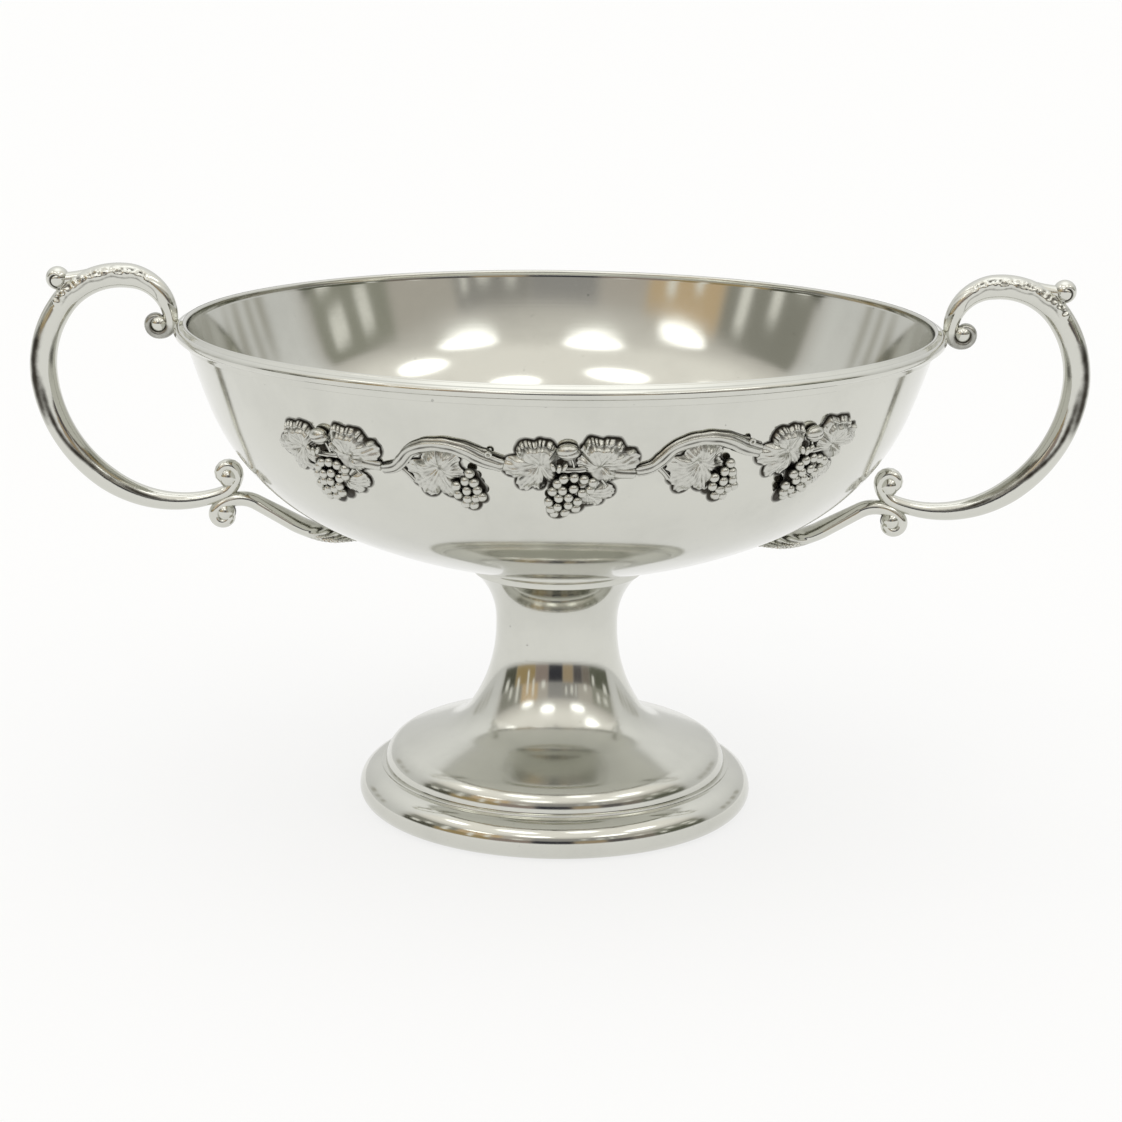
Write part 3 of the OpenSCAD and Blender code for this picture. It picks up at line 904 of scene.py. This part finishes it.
def leaf(stalk, lobes, high, web=0.52, teeth=0.07, dull=0.12, curl=(0, 0)):
    """A lobed, toothed and veined leaf spread from its stalk, with a dark skirt round its edge: a thin line
    of solder, widened into painted shadow on its lower side.

    Between the two directions of curl its edge is rolled up and cut into a row of teeth, with a painted
    highlight on the roll and painted shade in the cuts and under it.
    """
    around, rings = 252, 26
    bpy.ops.object.select_all(action="DESELECT")
    bpy.ops.mesh.primitive_circle_add(vertices=around, radius=MM / rings, fill_type="TRIFAN")
    piece = fresh("leaf")
    bpy.ops.object.mode_set(mode="EDIT")
    bpy.ops.mesh.select_all(action="SELECT")
    bpy.ops.mesh.region_to_loop()
    for k in range(2, rings + 1):
        bpy.ops.mesh.extrude_region_move(TRANSFORM_OT_translate={"value": (0, 0, 0)})
        bpy.ops.transform.resize(value=(k / (k - 1), k / (k - 1), 1), center_override=(0, 0, 0))
    bpy.ops.mesh.extrude_region_move(TRANSFORM_OT_translate={"value": (0, 0, -MM)})
    bpy.ops.mesh.extrude_region_move(TRANSFORM_OT_translate={"value": (0, 0, -MM)})
    bpy.ops.mesh.edge_face_add()
    bpy.ops.object.mode_set(mode="OBJECT")

    def rule(p):
        t = min(1.0, math.hypot(p.x, p.y))
        f = math.degrees(math.atan2(p.y, p.x)) % 360
        reach, off, length = lobe_of(f, lobes)
        full = leaf_edge(f, lobes, web)
        saw = (f / 11.0) % 1.0
        turned = smooth(curl[0] - 8, curl[0], f) * smooth(curl[1] + 8, curl[1], f) if curl[1] else 0.0
        uneven = noise.noise(Vector((f * 0.05, stalk[0], stalk[1])))
        full *= 1 + 0.09 * turned * uneven
        if p.z > -0.5:
            full *= 1 + teeth * (1 - turned) * (1 - 2 * abs(saw - 0.4)) * smooth(0.5, 0.95, t)
        r = t * full
        u, v = stalk[0] + r * cosd(f), stalk[1] + r * sind(f)
        aside = r * sind(off) if reach > 0 else 2.0
        ahead = r * cosd(off)
        valley = smooth(0.97, 0.55, full / length) if reach > 0 else 1.0
        rib = bump(aside, 0.24) * smooth(0.02, 0.12, t) * (1 - 0.6 * t)
        beside = bump(abs(aside) - 0.55, 0.28) * smooth(0.05, 0.2, t) * (1 - 0.4 * t)
        vein = bump((ahead - 0.9 * abs(aside)) % 2.3 - 1.15, 0.34)
        vein *= smooth(0.2, 0.4, t) * smooth(1.0, 0.85, t)
        notch = turned * bump((f / 11.0 + 0.9 * uneven) % 1.0 - 0.5, 0.18)
        roll = turned * bump(t - 0.88 - 0.05 * uneven, 0.09) * (1 + 0.5 * uneven)
        body = blend(0.55, 1.0, smooth(0.0, 0.45, t)) * blend(1.0, 0.32, smooth(0.55, 1.0, t))
        body -= 0.4 * valley * t * (1 - 0.5 * t) + 0.22 * turned * bump(t - 0.75, 0.07)
        body += 0.4 * roll - 0.34 * roll * notch
        sag = 0.36 * noise.noise(Vector((u, v, 0.0)) * 0.34) * (1 - turned * smooth(0.7, 0.85, t))
        h = high * (body + sag) + 0.16 * rib - 0.1 * beside - 0.035 * vein
        grit = noise.noise(Vector((u, v, 3.0)) * 0.7)
        dark = dull + 0.2 * beside + 0.34 * valley * t + 0.14 * vein + 0.4 * smooth(0.14, 0.0, t)
        dark += 0.2 * smooth(0.95, 1.0, t) - 0.3 * rib + 0.12 * grit
        # Painted shade in the cuts between the teeth and in a band under the roll, and a painted highlight on
        # the roll.
        dark += 0.85 * notch * smooth(0.78, 0.85, t) + 0.4 * turned * bump(t - 0.76, 0.06) - 0.4 * roll
        # The dark skirt: a thin line of solder round the leaf, widened into painted shadow on its lower side.
        shadow_below = 0.5 - 0.5 * sind(f)
        if p.z < -1.5:
            r += 0.9 + 0.9 * shadow_below
            h = 0.02
            dark = 0.3
        elif p.z < -0.5:
            r += 0.1 + 0.6 * shadow_below
            h = 0.05
            dark = 0.95
        return Vector((stalk[0] + r * cosd(f), stalk[1] + r * sind(f), max(h, 0.02))), dark

    shape(piece, rule)
    return piece


def berry(place, radii, turn=0.0, sink=0.15):
    """A small rounded boss, with painted shade on its lower part, where it meets its neighbours."""
    piece = ball("berry", 14, 9)
    turned = Matrix.Rotation(math.radians(turn), 3, "Z")

    def rule(p):
        q = turned @ Vector((p.x * radii[0], p.y * radii[1], p.z * radii[2])) + place
        return Vector((q.x, q.y, max(q.z, 0.05))), smooth(0.5, -0.2, p.z + sink)

    shape(piece, rule)
    return piece


def grape(u, v, h, radius, middle):
    """One grape, with painted shade round its foot that deepens the nearer it is to the middle of its bunch.
    """
    lean = noise.noise(Vector((u, v, 5.0)))
    radii = (radius * (1 + 0.1 * lean), radius * (1 - 0.06 * lean), radius)
    return berry(Vector((u, v, h)), radii, turn=60 * lean, sink=0.14 - 0.22 * middle)


def spline(a, b, c, d, t):
    """A smooth curve through b and c, on its way from a to d."""
    square = (2 * a - 5 * b + 4 * c - d) * t * t
    cube = (3 * b - a - 3 * c + d) * t ** 3
    return 0.5 * (2 * b + (c - a) * t + square + cube)


def stalk(run, ridges=4, twist=5.0):
    """A ridged strand through points (u, v, radius), lying on the bowl."""
    points = []
    between = 8
    for span in zip([run[0]] + run, run, run[1:], run[2:] + [run[-1]]):
        for k in range(between):
            points.append([spline(*values, k / between) for values in zip(*span)])
    points.append(list(run[-1]))
    ends = len(points) - 1

    def rule(ring, angle):
        u, v, radius = points[ring]
        before = points[max(ring - 1, 0)]
        after = points[min(ring + 1, ends)]
        way = Vector((after[0] - before[0], after[1] - before[1])).normalized()
        ridge = math.cos(math.radians(ridges * angle + twist * ring))
        knot = 0.1 * noise.noise(Vector((u * 0.4, v * 0.4, 9.0)))
        shut = math.sqrt(max(0.0, min(1.0, min(ring, ends - ring) / 1.5)))
        r = radius * (1 + 0.11 * ridge + knot) * max(shut, 0.001)
        aside = r * sind(angle)
        low = blend(1.0, 0.72, smooth(0.9, 1.5, radius))
        high = max(0.04, shut * low * (radius * 0.55 + 0.95 * r * cosd(angle)))
        # Dark in the grooves between the ridges, with painted shade low on the flanks.
        dark = 0.02 + 0.62 * smooth(-0.2, -0.95, ridge) + smooth(0.5, 0.1, high / radius / low)
        # A dark skirt round its foot on the bowl: a line of solder and painted shadow.
        if abs(angle) > 120:
            aside *= blend(1.0, 1.5, smooth(120, 130, abs(angle)))
            high = 0.02
            dark = blend(1.0, 0.4, smooth(120, 135, abs(angle)))
        return Vector((u - way.y * aside, v + way.x * aside, high)), dark

    piece = tube("strand", len(points), 36)
    shape_tube(piece, rule)
    return piece


BUNCH = (
    (-1.9, -1.7), (0.9, -1.3), (3.6, -1.9), (6.0, -2.9), (-2.2, -5.2), (0.8, -4.6), (-4.9, -5.7),
    (3.2, -6.1), (-3.2, -7.8), (-0.5, -7.5), (2.0, -8.9), (-0.5, -10.3), (-3.5, -11.2), (1.6, -11.6),
    (-5.4, -12.2), (-1.4, -13.3), (-4.5, -13.8), (5.4, -5.2), (-3.6, -3.2), (-6.0, -9.6))
SIDE_BUNCH = (
    (8.6, -1.2), (7.2, -3.6), (4.5, -5.4), (7.4, -6.6), (10.3, -6.4), (4.6, -8.3), (9.6, -4.0),
    (7.2, -9.6), (9.6, -9.2), (8.7, -11.9), (11.4, -8.8), (6.4, -11.6))
# Dark beds under the bunches, painted shade between the grapes and painted shadow round them, as lobes of
# (direction, length, half width)
SHADE_BED = [(60, 6.0, 50), (130, 4.4, 50), (180, 4.5, 50), (253, 11.2, 34), (286, 8.8, 44), (0, 4.8, 50)]
SIDE_SHADE_BED = [(70, 4.6, 50), (140, 4.2, 50), (236, 6.4, 42), (272, 8.6, 36), (305, 6.6, 34), (340, 4.2, 50)]


def cluster_mesh(branch):
    """Large casting: two leaves, a bud, a bunch, a small leaf and, if asked for, the branch beyond them."""
    sizes = settings().vine
    high = sizes.relief / MM
    g = sizes.grape_radius / MM
    left = [(190, 10.2, 42), (128, 8.0, 58), (80, 7.7, 60), (236, 9.6, 34), (266, 8.0, 30), (310, 7.0, 36)]
    right = [(107, 8.7, 56), (60, 9.2, 58), (14, 10.6, 38), (326, 6.2, 40), (164, 6.3, 40)]
    small = [(0, 7.8, 44), (318, 5.8, 40), (44, 4.2, 40)]
    parts = [
        leaf((-8.4, 2.3), left, high, curl=(58, 152)),
        leaf((7.9, 1.9), right, high, curl=(28, 124)),
        leaf((4.4, -6.9), small, high * 0.72, web=0.6),
        # A dark bed under the bunch: painted shade between the grapes and painted shadow round them.
        leaf((-0.8, -5.8), SHADE_BED, 0.7, web=0.37, teeth=0.0, dull=0.88),
        # A dark patch behind the three small berries: painted shade in the pocket between them.
        leaf((-3.4, 1.2), [(45, 2.4, 90), (225, 2.4, 90)], 0.9, web=0.95, teeth=0.0, dull=0.8),
        stalk([(-8.4, 2.3, 0.9), (-4.6, 0.6, 0.9), (0.6, 0.2, 0.9), (4.4, 0.8, 0.9), (7.9, 1.9, 0.9)]),
        stalk([(0.9, 0.4, 0.5), (0.5, 2.6, 0.45), (-0.7, 5.4, 0.55)], ridges=2),
        stalk([(7.9, 1.6, 0.55), (7.2, -0.6, 0.5), (8.9, -3.2, 0.5), (10.6, -5.4, 0.5), (12.0, -7.4, 0.5)],
              ridges=2),
        bud(-0.9, 6.5, 2.5),
        berry(Vector((-4.8, 2.2, 2.4)), (0.75, 1.45, 1.0), turn=20, sink=0.5),
        berry(Vector((-3.2, 1.9, 2.6)), (0.75, 1.45, 1.0), turn=-4, sink=0.5),
        berry(Vector((-1.7, 2.3, 2.4)), (0.7, 1.4, 1.0), turn=-25, sink=0.5),
    ]
    if branch:
        parts.append(stalk([(8.4, -0.2, 1.3), (13.4, -0.9, 1.6), (18.4, -1.1, 1.5)]))
    for u, v in BUNCH:
        middle = bump(math.hypot(u + 0.6, v + 6.5), 6.5)
        parts.append(grape(u, v, 1.45 + 0.9 * middle, g, middle))
    return join("cluster", parts)


def bud(u, v, radius):
    """A round bud with two folds across it."""
    piece = ball("bud", 32, 20)

    def rule(p):
        fold = bump(p.y - 0.05 - 0.3 * p.x, 0.1) + 0.8 * bump(p.y + 0.52, 0.1)
        q = p * radius * (1 - 0.12 * fold)
        place = Vector((u + 1.28 * q.x, v + 0.98 * q.y, max(0.05, 0.55 * radius + 0.85 * q.z)))
        # Dark in its folds, with painted shade on its underside.
        return place, 0.02 + 0.6 * fold + smooth(-0.15, -0.6, q.z / radius)

    shape(piece, rule)
    return piece


def link_mesh():
    """Small casting: a ridged branch arched over one five-lobed leaf, with a few grapes."""
    sizes = settings().vine
    high = sizes.relief / MM
    g = sizes.grape_radius / MM
    branch = [(-18.8, -3.0, 1.4), (-14.2, -1.8, 1.7), (-11.4, 0.7, 1.75), (-8.1, 4.2, 1.75),
              (-2.8, 6.3, 1.85), (2.7, 6.6, 2.0), (7.9, 5.3, 2.15), (12.4, 3.2, 2.2), (18.6, 1.2, 1.9)]
    lobes = [(132, 6.2, 38), (40, 7.0, 42), (186, 9.6, 34), (218, 9.8, 32), (242, 10.8, 32),
             (288, 9.8, 40), (342, 7.0, 40)]
    parts = [
        stalk(branch, ridges=6),
        stalk([(1.6, 8.0, 0.7), (7.4, 7.2, 0.8), (11.4, 5.6, 0.9), (13.8, 5.1, 0.8)], ridges=2),
        stalk([(-12.6, -1.6, 0.8), (-10.4, -3.8, 0.75), (-8.6, -6.0, 0.75)]),
        stalk([(1.2, 6.4, 0.6), (0.1, 3.0, 0.6), (-0.2, -0.4, 0.65)], ridges=2),
        ring_end(14.2, 5.0),
        leaf((-0.2, -0.6), lobes, high * 0.85),
        # A dark bed under the bunch: painted shade between the grapes and painted shadow round them.
        leaf((7.5, -5.8), SIDE_SHADE_BED, 0.7, web=0.38, teeth=0.0, dull=0.88),
    ]
    for u, v in SIDE_BUNCH:
        middle = bump(math.hypot(u - 7.5, v + 6.5), 4.0)
        parts.append(grape(u, v, 1.5 + 0.5 * middle, g, middle))
    return join("link", parts)


def ring_end(u, v):
    """The cut end of a shoot, a small raised ring."""
    bpy.ops.object.select_all(action="DESELECT")
    bpy.ops.mesh.primitive_torus_add(location=(u * MM, v * MM, 1.5 * MM), major_radius=0.75 * MM,
                                     minor_radius=0.38 * MM, major_segments=20, minor_segments=10)
    piece = fresh("ring_end")
    bpy.ops.object.transform_apply(location=True, rotation=True, scale=True)
    # Painted shade on its lower half.
    shape(piece, lambda p: (p, smooth(1.6, 1.0, p.z)))
    return piece


def lay_on_bowl(piece, form, turn, lift):
    for vertex in piece.data.vertices:
        p = vertex.co / MM
        vertex.co = form.on_bowl(p.x, p.y + lift, p.z + 0.02, turn) * MM
    close(piece, CAST_WELD, CAST_ANGLE)


# Operators


class SpunPiece:
    """What the spun pieces have in common."""

    bl_options = {"REGISTER", "UNDO"}
    node = ""
    outline = None

    def execute(self, context):
        piece = spin_up(self.node + "_silver", type(self).outline(Form()))
        dress(piece, self.node, polished_plate())
        return {"FINISHED"}


class COMPOTE_OT_bowl(SpunPiece, bpy.types.Operator):
    """Spin the bowl with its rounded lip"""

    bl_idname = "compote.bowl"
    bl_label = "Bowl"
    node = "bowl_shell"
    outline = staticmethod(bowl_outline)


class COMPOTE_OT_rim(SpunPiece, bpy.types.Operator):
    """Spin the bead and band that are soldered round the lip"""

    bl_idname = "compote.rim"
    bl_label = "Rim moulding"
    node = "rim_moulding"
    outline = staticmethod(rim_outline)


class COMPOTE_OT_collar(SpunPiece, bpy.types.Operator):
    """Spin the flange between the stem and the bowl"""

    bl_idname = "compote.collar"
    bl_label = "Stem collar"
    node = "stem_collar"
    outline = staticmethod(collar_outline)


class COMPOTE_OT_pedestal(SpunPiece, bpy.types.Operator):
    """Spin the trumpet of stem and domed foot"""

    bl_idname = "compote.pedestal"
    bl_label = "Pedestal"
    node = "pedestal"
    outline = staticmethod(pedestal_outline)


class COMPOTE_OT_foot(SpunPiece, bpy.types.Operator):
    """Spin the stepped ring that the bowl stands on"""

    bl_idname = "compote.foot"
    bl_label = "Foot moulding"
    node = "foot_moulding"
    outline = staticmethod(foot_outline)


def cast_pair(right, node):
    """Finish a casting for the right side and put its mirror copy on the left."""
    right.name = node + "_right_silver"
    close(right, CAST_WELD, CAST_ANGLE)
    left = mirror_copy(right, node + "_left_silver")
    dress(right, node + "_right", scroll_plate())
    dress(left, node + "_left", scroll_plate())


class COMPOTE_OT_handles(bpy.types.Operator):
    """Model one C-scroll handle and mirror it to the other side"""

    bl_idname = "compote.handles"
    bl_label = "Handles"
    bl_options = {"REGISTER", "UNDO"}

    def execute(self, context):
        cast_pair(handle_mesh(Form()), "handle")
        return {"FINISHED"}


class COMPOTE_OT_brackets(bpy.types.Operator):
    """Model one fluted arm under the bowl and mirror it to the other side"""

    bl_idname = "compote.brackets"
    bl_label = "Handle brackets"
    bl_options = {"REGISTER", "UNDO"}

    def execute(self, context):
        cast_pair(bracket_mesh(Form()), "handle_bracket")
        return {"FINISHED"}


def lay_vine(flat, kind, places):
    """Copy a flat casting to each of its places on both faces of the bowl."""
    form = Form()
    sizes = settings().vine
    for face, about in (("front", 0.0), ("back", math.pi)):
        for place, step, lift in places:
            node = "vine_%s_%s_%s" % (kind, face, place)
            piece = duplicate(flat, node + "_silver")
            lay_on_bowl(piece, form, sizes.turn + about + step * sizes.pitch, lift)
            dress(piece, node, vine_plate())
    remove(flat)


class COMPOTE_OT_vine_clusters(bpy.types.Operator):
    """Model the large vine casting and lay its copies on the bowl"""

    bl_idname = "compote.vine_clusters"
    bl_label = "Vine clusters"
    bl_options = {"REGISTER", "UNDO"}

    def execute(self, context):
        lay_vine(cluster_mesh(True), "cluster", (("left", -1, -1.0), ("centre", 0, 0.0)))
        lay_vine(cluster_mesh(False), "cluster", (("right", 1, 1.3),))
        return {"FINISHED"}


class COMPOTE_OT_vine_links(bpy.types.Operator):
    """Model the small vine casting and lay its copies between the clusters"""

    bl_idname = "compote.vine_links"
    bl_label = "Vine links"
    bl_options = {"REGISTER", "UNDO"}

    def execute(self, context):
        lay_vine(link_mesh(), "link", (("left", -0.5, 0.0), ("right", 0.5, 2.6)))
        return {"FINISHED"}


# Stage


def pale_floor():
    """Pale floor with the bowl's shadow; what the camera and the metal see of it is lifted to white."""
    stage = settings().stage
    material = bpy.data.materials.new("pale_floor")
    material.use_nodes = True
    nodes = Nodes(material.node_tree)
    output = nodes.add("ShaderNodeOutputMaterial")
    paint = nodes.add("ShaderNodeBsdfDiffuse")
    paint.inputs["Color"].default_value = colour(stage.floor)
    white = nodes.add("ShaderNodeEmission")
    white.inputs["Strength"].default_value = 1.0
    rays = nodes.add("ShaderNodeLightPath")
    seen = nodes.math("ADD", rays.outputs["Is Camera Ray"], rays.outputs["Is Glossy Ray"])
    seen = nodes.math("ADD", seen, rays.outputs["Is Transmission Ray"], True)
    mixed = nodes.add("ShaderNodeMixShader")
    nodes.link(nodes.math("MULTIPLY", seen, stage.whiten), mixed.inputs[0])
    nodes.link(paint.outputs[0], mixed.inputs[1])
    nodes.link(white.outputs[0], mixed.inputs[2])
    nodes.link(mixed.outputs[0], output.inputs[0])
    return material


# The room, in degrees across and up: spans of each wall with their colours, and the lights in it
LOW_ROOM = (
    ((-96, -72), (0.10, 0.10, 0.075)), ((-72, -36), (0.40, 0.30, 0.15)), ((-36, -13), (0.33, 0.27, 0.24)),
    ((-13, 12), (0.045, 0.045, 0.055)), ((12, 30), (0.42, 0.33, 0.22)), ((30, 46), (0.12, 0.11, 0.11)),
    ((46, 60), (0.24, 0.21, 0.18)), ((60, 96), (0.13, 0.135, 0.10)))
HIGH_ROOM = (
    ((-94, -58), (0.31, 0.305, 0.265)), ((-58, -30), (0.66, 0.50, 0.31)), ((-30, -13), (0.55, 0.51, 0.46)),
    ((-13, 11), (0.36, 0.35, 0.34)), ((11, 38), (0.34, 0.33, 0.31)), ((38, 62), (0.54, 0.51, 0.46)),
    ((62, 94), (0.34, 0.34, 0.285)))
ROOM_LIGHTS = (((-90, -84), (9, 15)), ((-80, -76), (14, 21)), ((-68, -64), (10, 25)), ((-50, -47), (6, 22)),
               ((-40, -37), (12, 24)), ((-24, -18), (14, 19)), ((16, 19), (18, 24)), ((25, 29), (17, 23)),
               ((33, 35), (16, 24)), ((48, 53), (15, 19)), ((70, 75), (18, 24)), ((81, 88), (19, 23)),
               ((84, 90), (11, 16)), ((64, 68), (8, 14)))
SIDE_STRIPES = ((-137, -132), (-128, -125), (-121, -118), (114, 118), (121, 124), (128, 132), (135, 139))
LAMPS = ((-46, 29, 10, 1.7), (-13, 34.5, 12, 3.0), (36, 32.5, 12, 2.6), (60, 41, 12, 4.0),
         (-28, 52, 16, 4.2), (-75, 48, 10, 4.0), (24, 58, 14, 4.0))
CLOTH = (1, 1, 0.985)
TOP_CLOTH = (1, 1, 0.99)
CEILING_LOW = (0.52, 0.50, 0.46)
CEILING_HIGH = (1.06, 1.03, 0.97)
WINDOW = (0.95, 0.94, 0.88)
STRIPE = (0.44, 0.43, 0.38)
LAMP = (2.6, 2.6, 2.55)


def tent_world(world):
    """White cloth behind and over the bowl, and a room beyond its open front."""
    stage = settings().stage
    world.use_nodes = True
    nodes = Nodes(world.node_tree)
    output = nodes.add("ShaderNodeOutputWorld")
    back = nodes.add("ShaderNodeBackground")
    way = nodes.add("ShaderNodeSeparateXYZ")
    direction = nodes.add("ShaderNodeTexCoord").outputs["Generated"]
    nodes.link(direction, way.inputs[0])
    flat = nodes.math("MULTIPLY", way.outputs[1], -1.0)
    azimuth = nodes.math("DEGREES", nodes.math("ARCTAN2", way.outputs[0], flat))
    height = nodes.math("DEGREES", nodes.math("ARCSINE", way.outputs[2]))

    def inside(value, span, soft):
        rise = nodes.ease(value, span[0] - soft, span[0] + soft)
        fall = nodes.ease(value, span[1] - soft, span[1] + soft, 1.0, 0.0)
        return nodes.math("MULTIPLY", rise, fall)

    def patch(across_span, up_span, soft, side_soft):
        level = inside(height, up_span, soft)
        return nodes.math("MULTIPLY", inside(azimuth, across_span, side_soft), level)

    cloth = nodes.mix(nodes.ease(height, 2.0, 55.0), colour(CLOTH, stage.tent * 0.78),
                      colour(CLOTH, stage.tent * 1.1))
    cloth = nodes.mix(nodes.ease(height, 50.0, 85.0), cloth, colour(TOP_CLOTH, stage.tent * 1.7))
    ceiling = nodes.mix(nodes.ease(height, 22.0, 40.0), colour(CEILING_LOW), colour(CEILING_HIGH))
    view = nodes.mix(patch((-97, 97), (2, 66), 1.5, 7.0), cloth, ceiling)
    for span, tint in LOW_ROOM:
        view = nodes.mix(patch(span, (2, 15), 0.8, 1.6), view, colour(tint))
    for span, tint in HIGH_ROOM:
        view = nodes.mix(patch(span, (15, 27), 1.2, 2.0), view, colour(tint))
    for span, rise in ROOM_LIGHTS:
        view = nodes.mix(patch(span, rise, 1.0, 1.0), view, colour(WINDOW))
    for span in SIDE_STRIPES:
        view = nodes.mix(patch(span, (6, 15), 3.0, 2.2), view, colour(STRIPE))
    for turn, rise, wide, tall in LAMPS:
        side = nodes.math("DIVIDE", nodes.math("SUBTRACT", azimuth, turn), wide)
        lift = nodes.math("DIVIDE", nodes.math("SUBTRACT", height, rise), tall)
        away = nodes.math("ADD", nodes.math("MULTIPLY", side, side), nodes.math("MULTIPLY", lift, lift))
        view = nodes.mix(nodes.ease(away, 1.25, 0.7), view, colour(LAMP))
    nodes.link(view, back.inputs["Color"])
    nodes.link(back.outputs[0], output.inputs[0])


class COMPOTE_OT_stage(bpy.types.Operator):
    """Add the pale floor, the soft studio light and the camera"""

    bl_idname = "compote.stage"
    bl_label = "Stage"
    bl_options = {"REGISTER", "UNDO"}

    def execute(self, context):
        stage = settings().stage
        scene = context.scene
        floor_drop = 0.0002
        camera_aside = 0.0011
        bpy.ops.object.select_all(action="DESELECT")
        bpy.ops.mesh.primitive_grid_add(x_subdivisions=8, y_subdivisions=8, size=30,
                                        location=(0, 0, -floor_drop))
        floor = fresh("floor")
        bpy.ops.object.transform_apply(location=True, rotation=True, scale=True)
        floor.data.materials.append(pale_floor())
        scene.world = bpy.data.worlds.new("light_tent")
        tent_world(scene.world)
        bpy.ops.object.camera_add(location=(camera_aside, -stage.distance, stage.height))
        camera = context.object
        camera.name = "photo_camera"
        camera.data.lens = stage.lens
        camera.data.sensor_width = 36.0
        turn = Euler((math.pi / 2 - stage.pitch, 0, 0)).to_matrix() @ Matrix.Rotation(stage.roll, 3, "Z")
        camera.rotation_euler = turn.to_euler()
        scene.camera = camera
        scene.view_settings.view_transform = "Standard"
        return {"FINISHED"}


# Panel and registration

STEPS = (COMPOTE_OT_bowl, COMPOTE_OT_rim, COMPOTE_OT_collar, COMPOTE_OT_pedestal, COMPOTE_OT_foot,
         COMPOTE_OT_handles, COMPOTE_OT_brackets, COMPOTE_OT_vine_clusters, COMPOTE_OT_vine_links,
         COMPOTE_OT_stage)


class COMPOTE_PT_panel(bpy.types.Panel):
    """Lists the steps and the sizes that they use"""

    bl_idname = "COMPOTE_PT_panel"
    bl_label = "Compote bowl"
    bl_space_type = "VIEW_3D"
    bl_region_type = "UI"
    bl_category = "Compote"

    def draw(self, context):
        for step in STEPS:
            self.layout.operator(step.bl_idname)
        for name in ("bowl", "scroll", "vine", "finish", "stage"):
            group = getattr(context.scene.compote, name)
            box = self.layout.box()
            box.label(text=name.capitalize())
            for prop in type(group).__annotations__:
                box.prop(group, prop)


GROUPS = (BowlSizes, ScrollSizes, VineSizes, Finishes, StageSettings, CompoteSettings)
CLASSES = GROUPS + STEPS + (COMPOTE_PT_panel,)


def register():
    for cls in CLASSES:
        bpy.utils.register_class(cls)
    bpy.types.Scene.compote = bpy.props.PointerProperty(type=CompoteSettings)


def unregister():
    del bpy.types.Scene.compote
    for cls in reversed(CLASSES):
        bpy.utils.unregister_class(cls)


def main():
    register()
    bpy.ops.compote.bowl()
    bpy.ops.compote.rim()
    bpy.ops.compote.collar()
    bpy.ops.compote.pedestal()
    bpy.ops.compote.foot()
    bpy.ops.compote.handles()
    bpy.ops.compote.brackets()
    bpy.ops.compote.vine_clusters()
    bpy.ops.compote.vine_links()
    bpy.ops.compote.stage()


if __name__ == "__main__":
    main()
